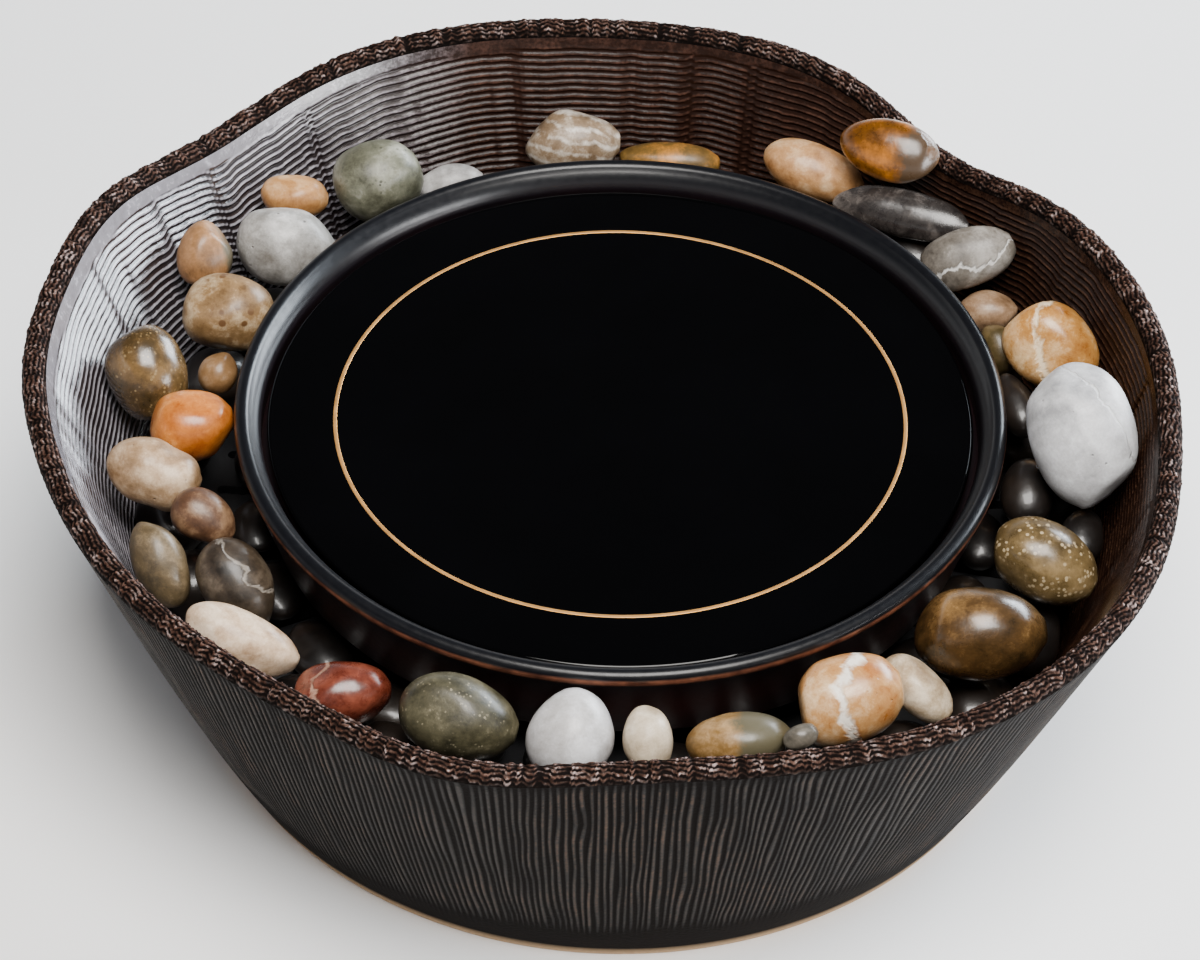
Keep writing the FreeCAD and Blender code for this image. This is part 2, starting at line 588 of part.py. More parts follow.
def cable_gland():
    """Tapered gland in the pump's back wall; the lead itself is not part of the model."""
    gland = Part.makeCone(4.2, 3.2, 8.0, V(HOUSING_BACK, 0, PUMP_AXIS_Z + 6), V(-1, 0, 0))
    bore = Part.makeCylinder(1.8, 7.0, V(HOUSING_BACK - 8.0, 0, PUMP_AXIS_Z + 6), X_AXIS)
    gland = gland.cut(bore)
    for i in range(3):
        x = HOUSING_BACK - 2.4 - 2.0 * i
        gland = gland.cut(tube(6.0, 3.0, x - 0.5, x + 0.5, V(0, 0, PUMP_AXIS_Z + 6), X_AXIS))
    return gland


# ---------------------------------------------------------------- pebbles
def pebble_outline(kind):
    """Half outline of a pebble one unit in half-length and half-width, by kind."""
    taper, fullness, waist = {
        "round": (0.04, 2.1, 0.0),
        "egg": (0.16, 2.1, 0.0),
        "blunt": (0.06, 2.6, 0.0),
        "cone": (0.34, 2.0, 0.0),
        "bean": (0.05, 2.4, 0.0),
        "waisted": (-0.14, 2.3, 0.16),
    }[kind]
    steps = [-1.0, -0.94, -0.78, -0.5, -0.15, 0.2, 0.52, 0.78, 0.94, 1.0]
    points = []
    for x in steps:
        radius = (1 - abs(x) ** fullness) ** (1 / fullness)
        radius *= 1 - taper * x
        radius *= 1 - waist * math.exp(-((x - 0.25) / 0.3) ** 2)
        points.append(V(x, radius, 0))
    curve = Part.BSplineCurve()
    curve.interpolate(Points=points, InitialTangent=V(0, 1, 0), FinalTangent=V(0, -1, 0))
    return curve


def pebble(kind, length, width, thickness, skew=0.0):
    """A pebble with its long axis along X and its flat way along Z, centred on the origin."""
    half = pebble_outline(kind).toShape().revolve(V(0, 0, 0), X_AXIS, 180)
    other_half = half.copy()
    other_half.rotate(V(0, 0, 0), X_AXIS, 180)
    shell = Part.makeShell([half, other_half])
    shell.sewShape()
    stone = Part.Solid(shell)
    if stone.Volume < 0:
        stone.reverse()
    matrix = FreeCAD.Matrix(length / 2, 0, 0, 0,
                            skew * length / 2, width / 2, 0, 0,
                            0, 0, thickness / 2, 0,
                            0, 0, 0, 1)
    return stone.transformGeometry(matrix)


def laid(stone, bearing, radius, z, yaw, pitch=0.0, roll=0.0):
    """Turn a pebble about its own axes and set it down at a bearing, radius and height."""
    stone.rotate(V(0, 0, 0), X_AXIS, roll)
    stone.rotate(V(0, 0, 0), Y_AXIS, -pitch)
    stone.rotate(V(0, 0, 0), Z_AXIS, yaw)
    stone.translate(polar(radius, bearing, z))
    return stone


# Upper pebbles: name, kind, (length, width, thickness), (bearing, radius, height), (yaw, pitch, roll)
UPPER_PEBBLES = [
    ("pebble_01_streaked_brown", "round", (32, 22, 20), (97, 137, 92), (0, 0, 50)),
    ("pebble_02_olive_orange", "bean", (35, 14, 15), (84, 137, 84), (-5, 0, 45)),
    ("pebble_03_pale_grey", "round", (23, 14, 16), (115, 133, 86), (5, 5, 50)),
    ("pebble_04_green_grey", "blunt", (29, 26, 24), (125, 137, 94), (15, 15, 50)),
    ("pebble_05_orange_tan", "round", (22, 15, 17), (135, 148, 93), (0, -10, 50)),
    ("pebble_06_light_grey", "egg", (33, 26, 24), (142, 134, 91), (0, -5, 50)),
    ("pebble_07_brown_tan", "egg", (23, 18, 18), (151, 149, 95), (75, 50, 15)),
    ("pebble_08_mottled_tan", "blunt", (29, 25, 26), (158, 131, 91), (-5, -15, 50)),
    ("pebble_09_small_tan", "egg", (14, 12, 13), (169, 125, 89), (65, 45, 25)),
    ("pebble_10_olive_brown", "egg", (33, 25, 26), (173, 144, 93), (-55, -45, 20)),
    ("pebble_11_orange", "blunt", (26, 22, 22), (-178, 128, 93), (10, 5, 50)),
    ("pebble_12_beige", "waisted", (29, 22, 22), (-169, 140, 94), (-15, -20, 45)),
    ("pebble_13_small_brown", "egg", (21, 16, 15), (-160, 129, 93), (-20, -25, 40)),
    ("pebble_14_olive_grey", "round", (28, 17, 19), (-156, 145, 89), (-65, -45, 10)),
    ("pebble_15_dark_grey", "egg", (30, 21, 20), (-149, 128, 87), (-55, -40, 20)),
    ("pebble_16_cream_flat", "bean", (36, 17, 18), (-138, 143, 95), (-15, -20, 40)),
    ("pebble_17_red_brown", "blunt", (28, 19, 21), (-125, 134, 89), (0, -5, 45)),
    ("pebble_18_dark_green", "egg", (35, 24, 26), (-110, 128, 91), (-10, -10, 40)),
    ("pebble_19_white_cone", "cone", (27, 25, 25), (-96, 127, 92), (90, 45, 0)),
    ("pebble_20_cream_cone", "cone", (20, 14, 15), (-86, 128, 92), (90, 45, 0)),
    ("pebble_21_ochre", "round", (31, 17, 23), (-75, 132, 91), (0, 5, 45)),
    ("pebble_22_grey_chip", "round", (11, 7, 8), (-69, 142, 99), (20, 10, 30)),
    ("pebble_23_orange_cream", "blunt", (34, 26, 27), (-61, 131, 95), (5, 10, 45)),
    ("pebble_24_cream_tan", "bean", (25, 14, 17), (-50, 132, 86), (-35, -25, 40)),
    ("pebble_25_large_olive", "egg", (39, 28, 29), (-39, 133, 91), (0, 10, 45)),
    ("pebble_26_speckled", "egg", (34, 25, 26), (-23, 134, 89), (-25, -15, 45)),
    ("pebble_27_large_white", "bean", (46, 32, 28), (-6, 137, 105), (-70, -45, 25)),
    ("pebble_28_marbled", "egg", (32, 26, 22), (14, 135, 98), (-35, -30, 40)),
    ("pebble_29_olive_sliver", "round", (19, 11, 13), (22, 127, 83), (-60, -40, 30)),
    ("pebble_30_pink_tan", "round", (19, 14, 15), (29, 131, 85), (-5, 5, 50)),
    ("pebble_31_veined_grey", "bean", (32, 19, 14), (35, 131, 97), (10, 20, 45)),
    ("pebble_32_flat_black", "bean", (47, 16, 10), (47, 129, 99), (-20, 0, 40)),
    ("pebble_33_amber", "cone", (34, 20, 13), (52, 136, 114), (155, 5, -45)),
    ("pebble_34_tan_orange", "round", (35, 19, 22), (63, 134, 95), (-15, -15, 50)),
]

# Dark pebbles that fill the gaps and carry the stones that lie high: the same fields, unnamed
DARK_FILLERS = [
    ("round", (24, 17, 15), (-8, 123, 84), (80, 10, 0)),
    ("egg", (20, 14, 11), (-13, 141, 81), (80, 0, 10)),
    ("bean", (24, 12, 12), (9, 122, 86), (105, 10, 10)),
    ("round", (28, 20, 13), (46, 129, 85), (-45, 0, 10)),
    ("round", (22, 16, 16), (4, 138, 86), (60, 0, 0)),
]


def upper_pebble(kind, size, place, turn):
    """One pebble of the upper layer."""
    skew = 0.06 * math.sin(place[0])
    return laid(pebble(kind, *size, skew=skew), *place, *turn)


def rim_radius_at(bearing, samples):
    """Outside radius of the rim nearest to a bearing."""
    def off(point):
        turn = math.degrees(math.atan2(point.y, point.x)) - bearing
        return abs((turn + 180) % 360 - 180)
    nearest = min(samples, key=off)
    return math.hypot(nearest.x, nearest.y)


def outer_ring():
    """Dark pebbles that lie on the grate against the bowl's wall."""
    samples = rim_samples(96)
    stones = []
    for i in range(OUTER_RING_PEBBLES):
        bearing = 360.0 * i / OUTER_RING_PEBBLES
        length = 27 + 1.4 * math.sin(2.4 * i)
        width = OUTER_RING_WIDTH + 1.5 * math.cos(1.7 * i)
        thickness = 20 + 1.5 * math.sin(3.1 * i)
        height = GRATE_TOP + thickness / 2 + 0.1
        wall = wall_radius(height / RIM_HEIGHT, rim_radius_at(bearing, samples)) - WALL
        radius = wall - width / 2 - 2.6 - 0.6 * math.sin(5.3 * i)
        stone = pebble("round" if i % 2 else "egg", length, width, thickness)
        stones.append(laid(stone, bearing, radius, height, bearing + 90))
    return stones


def inner_ring():
    """Flat dark pebbles that lie on the grate under the dish's edge."""
    stones = []
    for i in range(INNER_RING_PEBBLES):
        bearing = 360.0 * (i + 0.5) / INNER_RING_PEBBLES
        length = 24 + 1.6 * math.sin(1.9 * i)
        width = 18 + 1.2 * math.cos(2.3 * i)
        thickness = 11.5 + 0.8 * math.sin(4.1 * i)
        stone = pebble("egg" if i % 2 else "round", length, width, thickness)
        height = GRATE_TOP + thickness / 2 + 0.1
        near_fold = math.exp(-((bearing - 47) / 20.0) ** 2)
        stones.append(laid(stone, bearing, INNER_RING_RADIUS - 6 * near_fold, height, bearing + 90))
    return stones


def dark_pebbles():
    """The dark lower layer on the grate, and the dark fillers above it."""
    stones = outer_ring() + inner_ring()
    for kind, size, place, turn in DARK_FILLERS:
        stones.append(laid(pebble(kind, *size), *place, *turn))
    return Part.makeCompound(stones)


# ---------------------------------------------------------------- write the nodes
def main():
    os.makedirs("parts", exist_ok=True)
    builders = [
        bowl, dish_stand, pebble_grate, spill_dish, mirror_plate, gold_ring, plate_pads,
        inlet_fitting, inlet_nut, inlet_seal, riser_hose,
        pump_housing, stator_core, stator_coil, rotor_shaft, shaft_bushes, rotor_magnet, impeller,
        cover_seal, volute_cover, cover_screws, intake_strainer, flow_slider, suction_cups, cable_gland,
        dark_pebbles,
    ]
    for builder in builders:
        save(builder(), builder.__name__)
    for name, kind, size, place, turn in UPPER_PEBBLES:
        save(upper_pebble(kind, size, place, turn), name)


main()
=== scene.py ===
"""Looks of the tabletop water fountain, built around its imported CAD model.

The combed stoneware bowl, the glazed dish with its mirror plate and gold ring, and every pebble are finer
pieces that stand for their CAD nodes. The pump, stand, grate and fittings are the CAD nodes with new finishes.
Lengths are in metres, in the part's own frame.
"""

import bmesh
import bpy
import json
import math
import numpy as np
from mathutils import Matrix, Vector, noise
from mathutils.bvhtree import BVHTree


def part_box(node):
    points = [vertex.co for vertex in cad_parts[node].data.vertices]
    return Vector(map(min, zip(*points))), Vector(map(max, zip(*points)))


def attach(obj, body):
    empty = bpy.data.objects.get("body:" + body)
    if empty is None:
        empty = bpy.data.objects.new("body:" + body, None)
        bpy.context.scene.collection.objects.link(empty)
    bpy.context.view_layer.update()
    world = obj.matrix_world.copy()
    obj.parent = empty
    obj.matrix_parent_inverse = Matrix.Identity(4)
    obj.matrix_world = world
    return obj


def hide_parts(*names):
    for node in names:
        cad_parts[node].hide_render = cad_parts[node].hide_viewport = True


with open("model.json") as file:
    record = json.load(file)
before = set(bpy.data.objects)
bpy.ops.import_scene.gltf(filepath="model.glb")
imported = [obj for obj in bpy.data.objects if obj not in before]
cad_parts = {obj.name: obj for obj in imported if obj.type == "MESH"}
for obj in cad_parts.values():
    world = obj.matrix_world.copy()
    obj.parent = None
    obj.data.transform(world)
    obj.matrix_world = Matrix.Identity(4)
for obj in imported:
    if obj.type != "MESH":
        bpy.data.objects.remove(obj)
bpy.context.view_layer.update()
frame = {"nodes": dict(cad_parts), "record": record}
nodes = frame["nodes"]
MM = 0.001
TURN = 2 * math.pi

# Camera: seen from the rim's middle of the dish
CAMERA_FROM_DISH = Vector((-5.75, -884.5, 798.9)) * MM
CAMERA_DOWN = math.radians(43.26)
CAMERA_ROLL = math.radians(-1.07)
CAMERA_LENS = 120.0

# Bowl
OUTER_COLUMNS = 2880
OUTER_ROWS = 22
LIP_ROWS = 34
INNER_COLUMNS = 648
INNER_ROWS = 242
OUTER_RIBS = 480
INNER_RIBS = 44
LIP_STRANDS = 72
COMB_STROKES = 40          # strokes of the comb round the inside
SMOOTH_STRIP = 0.968       # share of the inside wall's height above which it isn't combed
HIDDEN_SHARE = 0.30        # share of that height below the pebbles' tops, left plain
HIDDEN_ROWS = 16

# Pebbles: how far each is drawn from its CAD shape towards an egg
ROUNDING = 0.42
BLUNT_ROUNDING = 0.78
SEEN_BEYOND = 0.1165       # distance from the middle past which a dark pebble can be seen


# ---------------------------------------------------------------- materials
def tint(red, green, blue, alpha=1.0):
    """A colour for a shader from its 0-255 display values."""
    def linear(value):
        share = value / 255
        return share / 12.92 if share <= 0.04045 else ((share + 0.055) / 1.055) ** 2.4
    return (linear(red), linear(green), linear(blue), alpha)


class Finish:
    """One procedural material on object coordinates, built node by node."""

    def __init__(self, name, stretch=(1, 1, 1), origin=(0, 0, 0)):
        self.material = bpy.data.materials.new(name)
        self.material.use_nodes = True
        tree = self.material.node_tree
        self.tree, self.links = tree, tree.links
        tree.nodes.clear()
        self.output = tree.nodes.new("ShaderNodeOutputMaterial")
        self.surface = tree.nodes.new("ShaderNodeBsdfPrincipled")
        self.links.new(self.surface.outputs[0], self.output.inputs[0])
        coordinates = tree.nodes.new("ShaderNodeTexCoord")
        mapping = self.add("ShaderNodeMapping", {0: coordinates.outputs["Object"]})
        mapping.inputs["Scale"].default_value = stretch
        mapping.inputs["Location"].default_value = [-s * o for s, o in zip(stretch, origin)]
        self.place = mapping.outputs[0]

    def add(self, kind, values=None, **settings):
        node = self.tree.nodes.new(kind)
        for key, value in settings.items():
            setattr(node, key, value)
        for key, value in (values or {}).items():
            self.feed(node.inputs[key], value)
        return node

    def feed(self, socket, value):
        if isinstance(value, bpy.types.NodeSocket):
            self.links.new(value, socket)
        else:
            socket.default_value = value

    def set(self, **values):
        """Set inputs of the surface by name, with _ for a space."""
        for key, value in values.items():
            self.feed(self.surface.inputs[key.replace("_", " ")], value)
        return self

    def noise(self, scale, detail=3.0, roughness=0.55, distortion=0.0):
        return self.add("ShaderNodeTexNoise", {"Vector": self.place, "Scale": scale, "Detail": detail,
                                               "Roughness": roughness, "Distortion": distortion}).outputs[0]

    def cells(self, scale, feature="F1", randomness=1.0):
        return self.add("ShaderNodeTexVoronoi", {"Vector": self.place, "Scale": scale,
                                                 "Randomness": randomness}, feature=feature).outputs[0]

    def value(self, operation, a, b=0.0, clamp=False):
        return self.add("ShaderNodeMath", {0: a, 1: b}, operation=operation, use_clamp=clamp).outputs[0]

    def span(self, value, low, high, start=0.0, end=1.0):
        """Map low..high to start..end, clamped."""
        return self.add("ShaderNodeMapRange", {0: value, 1: low, 2: high, 3: start, 4: end}).outputs[0]

    def ramp(self, value, *stops):
        node = self.add("ShaderNodeValToRGB", {0: value})
        ramp = node.color_ramp
        while len(ramp.elements) < len(stops):
            ramp.elements.new(0.5)
        for element, (place, colour) in zip(ramp.elements, stops):
            element.position = place
            element.color = colour
        return node.outputs[0]

    def blend(self, share, a, b):
        return self.add("ShaderNodeMix", {0: share, 6: a, 7: b}, data_type="RGBA").outputs[2]

    def along(self, direction):
        """How far a point lies along a direction."""
        node = self.add("ShaderNodeVectorMath", {0: self.place, 1: direction}, operation="DOT_PRODUCT")
        return node.outputs["Value"]

    def attribute(self, name):
        return self.add("ShaderNodeAttribute", attribute_name=name).outputs["Fac"]

    def bump(self, height, distance, strength=1.0, below=None):
        values = {"Height": height, "Distance": distance, "Strength": strength}
        if below is not None:
            values["Normal"] = below
        return self.add("ShaderNodeBump", values).outputs[0]


def plain_finish(name, light, dark, roughness, bump=0.00004, scale=900.0, metallic=0.0, ior=1.5, stretch=(1, 1, 1)):
    """Moulded or drawn stuff: a slightly uneven colour, a fine grain and uneven gloss."""
    finish = Finish(name, stretch)
    broad = finish.noise(60.0, 2.0)
    fine = finish.noise(scale, 3.0)
    colour = finish.blend(finish.span(broad, 0.3, 0.7), dark, light)
    finish.set(Base_Color=colour, Metallic=metallic, IOR=ior,
               Roughness=finish.span(fine, 0.3, 0.7, roughness * 0.85, min(roughness * 1.2, 1.0)),
               Normal=finish.bump(fine, bump))
    return finish


# ---------------------------------------------------------------- meshes
def new_object(name, vertices, faces, smooth=True):
    mesh = bpy.data.meshes.new(name)
    mesh.from_pydata([tuple(v) for v in vertices], [], faces)
    mesh.update()
    thing = bpy.data.objects.new(name, mesh)
    bpy.context.scene.collection.objects.link(thing)
    if smooth:
        mesh.shade_smooth()
    return thing


def stand_in(name, vertices, faces, node, body, material, sharp=None):
    """A piece that stands for a CAD node."""
    piece = new_object(name, vertices, faces)
    if sharp:
        piece.data.set_sharp_from_angle(angle=math.radians(sharp))
    piece.data.materials.append(material)
    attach(piece, body)
    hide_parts(node)
    return piece


def node_arrays(name):
    mesh = nodes[name].data
    flat = np.zeros(len(mesh.vertices) * 3, np.float32)
    mesh.vertices.foreach_get("co", flat)
    mesh.calc_loop_triangles()
    triangles = np.zeros(len(mesh.loop_triangles) * 3, np.int32)
    mesh.loop_triangles.foreach_get("vertices", triangles)
    return flat.reshape(-1, 3).astype(float), triangles.reshape(-1, 3)


def ray_target(vertices, triangles):
    return BVHTree.FromPolygons([Vector(v) for v in vertices], [tuple(int(i) for i in t) for t in triangles])


def strip_faces(rows, columns, closed=True):
    """Quads of a grid of rows whose columns run round."""
    faces = []
    for i in range(rows - 1):
        for j in range(columns if closed else columns - 1):
            k = (j + 1) % columns
            faces.append((i * columns + j, i * columns + k, (i + 1) * columns + k, (i + 1) * columns + j))
    return faces


def lathe(name, profile, columns, node, body, material, sharp=30, wobble=None):
    """A turned piece from a closed outline of (radius, z) points, anticlockwise seen with z up and radius right."""
    angles = np.linspace(0, TURN, columns, endpoint=False)
    vertices, faces = [], []
    count = len(profile)
    for i, (radius, z) in enumerate(profile):
        for angle in angles:
            r, h = (radius, z) if wobble is None else wobble(radius, z, angle)
            vertices.append((r * math.cos(angle), r * math.sin(angle), h))
    for i in range(count):
        k = (i + 1) % count
        for j in range(columns):
            m = (j + 1) % columns
            faces.append((i * columns + j, i * columns + m, k * columns + m, k * columns + j))
    return stand_in(name, vertices, faces, node, body, material, sharp)


def arc_points(start, middle, end, steps):
    """Points of the circle through three points, with both ends."""
    (ax, ay), (bx, by), (cx, cy) = start, middle, end
    d = 2 * (ax * (by - cy) + bx * (cy - ay) + cx * (ay - by))
    ux = ((ax**2 + ay**2) * (by - cy) + (bx**2 + by**2) * (cy - ay) + (cx**2 + cy**2) * (ay - by)) / d
    uy = ((ax**2 + ay**2) * (cx - bx) + (bx**2 + by**2) * (ax - cx) + (cx**2 + cy**2) * (bx - ax)) / d
    radius = math.hypot(ax - ux, ay - uy)
    first, via, last = (math.atan2(y - uy, x - ux) for x, y in (start, middle, end))
    sweep = (last - first) % TURN
    if (via - first) % TURN > sweep:
        sweep -= TURN
    return [(ux + radius * math.cos(first + sweep * i / steps), uy + radius * math.sin(first + sweep * i / steps))
            for i in range(steps + 1)]


def line_points(start, end, steps):
    return [(start[0] + (end[0] - start[0]) * i / steps, start[1] + (end[1] - start[1]) * i / steps)
            for i in range(steps + 1)]


# ---------------------------------------------------------------- stage
def place_camera():
    _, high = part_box("spill_dish")
    data = bpy.data.cameras.new("camera")
    data.lens = CAMERA_LENS
    data.sensor_width = 36.0
    data.clip_start = 0.05
    camera = bpy.data.objects.new("camera", data)
    bpy.context.scene.collection.objects.link(camera)
    ahead = Vector((0, math.cos(CAMERA_DOWN), -math.sin(CAMERA_DOWN)))
    level_up = Vector((0, math.sin(CAMERA_DOWN), math.cos(CAMERA_DOWN)))
    right = math.cos(CAMERA_ROLL) * Vector((1, 0, 0)) - math.sin(CAMERA_ROLL) * level_up
    up = math.sin(CAMERA_ROLL) * Vector((1, 0, 0)) + math.cos(CAMERA_ROLL) * level_up
    turn = Matrix((right, up, -ahead)).transposed().to_4x4()
    camera.matrix_world = Matrix.Translation(Vector((0, 0, high.z)) + CAMERA_FROM_DISH) @ turn
    bpy.context.scene.camera = camera


def softbox(name, place, aim, width, height, power, colour):
    data = bpy.data.lights.new(name, "AREA")
    data.shape = "RECTANGLE"
    data.size, data.size_y = width, height
    data.energy = power
    data.color = colour
    light = bpy.data.objects.new(name, data)
    bpy.context.scene.collection.objects.link(light)
    turn = (Vector(place) - Vector(aim)).to_track_quat("Z", "Y").to_matrix().to_4x4()
    light.matrix_world = Matrix.Translation(place) @ turn


def light_studio():
    middle = (0, 0, 0.09)
    softbox("window_right", (1.25, 1.05, 0.62), middle, 1.2, 0.7, 62.0, (0.82, 0.91, 1.0))
    softbox("window_front_right", (1.6, -0.9, 0.42), middle, 1.1, 0.5, 40.0, (0.97, 0.98, 1.0))
    softbox("overhead", (0.15, -0.55, 1.6), middle, 0.9, 0.9, 58.0, (1.0, 0.97, 0.93))
    world = bpy.data.worlds.new("studio")
    bpy.context.scene.world = world
    world.use_nodes = True
    tree = world.node_tree
    tree.nodes.clear()
    output = tree.nodes.new("ShaderNodeOutputWorld")
    background = tree.nodes.new("ShaderNodeBackground")
    coordinates = tree.nodes.new("ShaderNodeTexCoord")
    parts = tree.nodes.new("ShaderNodeSeparateXYZ")
    ramp = tree.nodes.new("ShaderNodeValToRGB")
    tree.links.new(coordinates.outputs["Generated"], parts.inputs[0])
    tree.links.new(parts.outputs[2], ramp.inputs[0])
    tree.links.new(ramp.outputs[0], background.inputs[0])
    tree.links.new(background.outputs[0], output.inputs[0])
    ramp.color_ramp.elements[0].position = 0.05
    ramp.color_ramp.elements[0].color = (1.0, 1.0, 1.0, 1)
    ramp.color_ramp.elements[1].position = 0.45
    ramp.color_ramp.elements[1].color = (0.045, 0.045, 0.05, 1)
    background.inputs[1].default_value = 1.7


def lay_floor():
    finish = Finish("pale_floor")
    finish.set(Base_Color=finish.blend(finish.noise(3.0), tint(250, 250, 250), tint(253, 253, 253)), Roughness=0.9)
    floor = new_object("floor", [(-4, -4, 0), (4, -4, 0), (4, 4, 0), (-4, 4, 0)], [(0, 1, 2, 3)], smooth=False)
    floor.data.materials.append(finish.material)


# ---------------------------------------------------------------- bowl
def wandering(angle, height, scale, seed):
    """Smooth noise from about -1 to 1 over the bowl's wall."""
    return noise.noise(Vector((math.cos(angle) * scale, math.sin(angle) * scale, height + seed)))


def smooth_round(grid, passes):
    """Even out a grid of (rows, columns) along its columns, which run round."""
    for _ in range(passes):
        grid = 0.25 * np.roll(grid, 1, 1) + 0.5 * grid + 0.25 * np.roll(grid, -1, 1)
    return grid


class BowlWall:
    """Reads the bowl's outside, inside and rim from its CAD node."""

    def __init__(self):
        vertices, triangles = node_arrays("bowl")
        self.tree = ray_target(vertices, triangles)
        self.low, self.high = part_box("bowl")

    def rim(self, angle):
        """Height of the rim at a bearing: the highest hit of rays dropped across the wall."""
        best = 0.0
        for i in range(26):
            radius = 0.140 + 0.0016 * i
            start = Vector((radius * math.cos(angle), radius * math.sin(angle), 0.3))
            hit = self.tree.ray_cast(start, Vector((0, 0, -1)))[0]
            if hit is not None and hit.z > best:
                best = hit.z
        return best

    def outside(self, angle, z):
        out = Vector((math.cos(angle), math.sin(angle), 0))
        hit = self.tree.ray_cast(out * 0.4 + Vector((0, 0, z)), -out)[0]
        return math.hypot(hit.x, hit.y)

    def inside(self, angle, z):
        out = Vector((math.cos(angle), math.sin(angle), 0))
        hit = self.tree.ray_cast(Vector((0, 0, z)), out)[0]
        return math.hypot(hit.x, hit.y)


def stoneware():
    """Dark iron glaze over combed clay: black in the grooves, grey and rust where it breaks on the ridges. The
    inside's ridges have a painted highlight, pale blue-white on the left, and painted shade, darker on the right; the
    lip's strands have pale painted glints.
    """
    finish = Finish("stoneware_ribbed")
    ridge = finish.attribute("ridge")
    lip = finish.attribute("lip")
    bare = finish.attribute("bare")
    inside = finish.attribute("inside")
    broad = finish.noise(22.0, 4.0)
    middle = finish.noise(260.0, 4.0)
    fine = finish.noise(900.0, 4.0)
    grain = finish.noise(2600.0, 3.0)
    across = finish.along((1, 0, 0))
    # share of the inside's left side: there the grooves are painted grey-blue and the ridges pale blue-white as a
    # painted highlight, with more gloss
    left = finish.span(across, -0.050, -0.110)
    groove = finish.blend(inside, tint(12, 9, 8), finish.blend(left, tint(30, 17, 12), tint(30, 24, 26)))
    outside_crest = finish.ramp(broad, (0.32, tint(38, 32, 27)), (0.46, tint(46, 36, 27)), (0.55, tint(68, 47, 31)),
                                (0.68, tint(42, 35, 29)))
    # painted highlight: pale blue-white ridges on the inside's left side
    painted_highlight_crest = finish.blend(middle, tint(150, 144, 150), tint(214, 212, 222))
    back_crest = finish.blend(middle, tint(48, 30, 23), tint(86, 58, 47))
    # painted shade: darker ridges on the inside's right side
    painted_shade_crest = finish.blend(middle, tint(44, 28, 20), tint(84, 58, 42))
    # the inside's ridge colour runs from the painted highlight on the left, through the plain tone at the back, to
    # painted shade on the right
    inside_crest_painted_light = finish.blend(left, back_crest, painted_highlight_crest)
    inside_crest_painted_light = finish.blend(finish.span(across, 0.045, 0.120), inside_crest_painted_light, painted_shade_crest)
    crest = finish.blend(inside, outside_crest, inside_crest_painted_light)
    mottle = finish.value("ADD", finish.value("MULTIPLY", fine, 0.5), finish.value("MULTIPLY", middle, 0.5))
    patchy = finish.span(mottle, 0.34, 0.62, 0.45, 1.0)
    # glaze break on the ridges; inside, the ridges take the crest colour more fully towards the left, which widens the
    # painted highlight there
    even = finish.value("MULTIPLY", inside, finish.span(left, 0.0, 1.0, 0.62, 0.86))
    worn = finish.value("MULTIPLY", ridge, finish.value("MAXIMUM", patchy, even))
    colour = finish.blend(finish.span(worn, 0.46, 0.96), groove, crest)
    # lip strands: brown glaze tones, with pale pink-white painted glints at the light end
    strand = finish.ramp(finish.noise(330.0, 4.0, 0.7), (0.32, tint(24, 15, 12)), (0.45, tint(64, 40, 30)),
                         (0.54, tint(98, 74, 64)), (0.66, tint(176, 156, 152)))
    lip_break_and_painted_glints = finish.blend(finish.span(ridge, 0.30, 0.85), tint(14, 10, 9), strand)
    colour = finish.blend(lip, colour, lip_break_and_painted_glints)
    colour = finish.blend(bare, colour, finish.blend(fine, tint(158, 130, 100), tint(192, 166, 134)))
    rough = finish.value("ADD", finish.span(inside, 0.0, 1.0, 0.56, 0.26), finish.value("MULTIPLY", bare, 0.4),
                         clamp=True)
    inner_shine = finish.value("MULTIPLY", inside, finish.span(left, 0.0, 1.0, 0.05, 0.60))
    coarse = finish.bump(fine, 0.00016, 0.8)
    finish.set(Base_Color=colour, Roughness=rough, IOR=1.5, Normal=finish.bump(grain, 0.00005, 0.6, coarse),
               Specular_IOR_Level=finish.value("ADD", inner_shine, finish.span(ridge, 0.3, 0.9, 0.01, 0.12)),
               Coat_Weight=finish.value("MULTIPLY", inside, finish.span(left, 0.0, 1.0, 0.06, 0.5)))
    finish.surface.inputs["Coat Roughness"].default_value = 0.16
    return finish.material


def set_shares(piece, **shares):
    for name, values in shares.items():
        attribute = piece.data.attributes.new(name, "FLOAT", "POINT")
        attribute.data.foreach_set("value", np.asarray(values, np.float32).ravel())


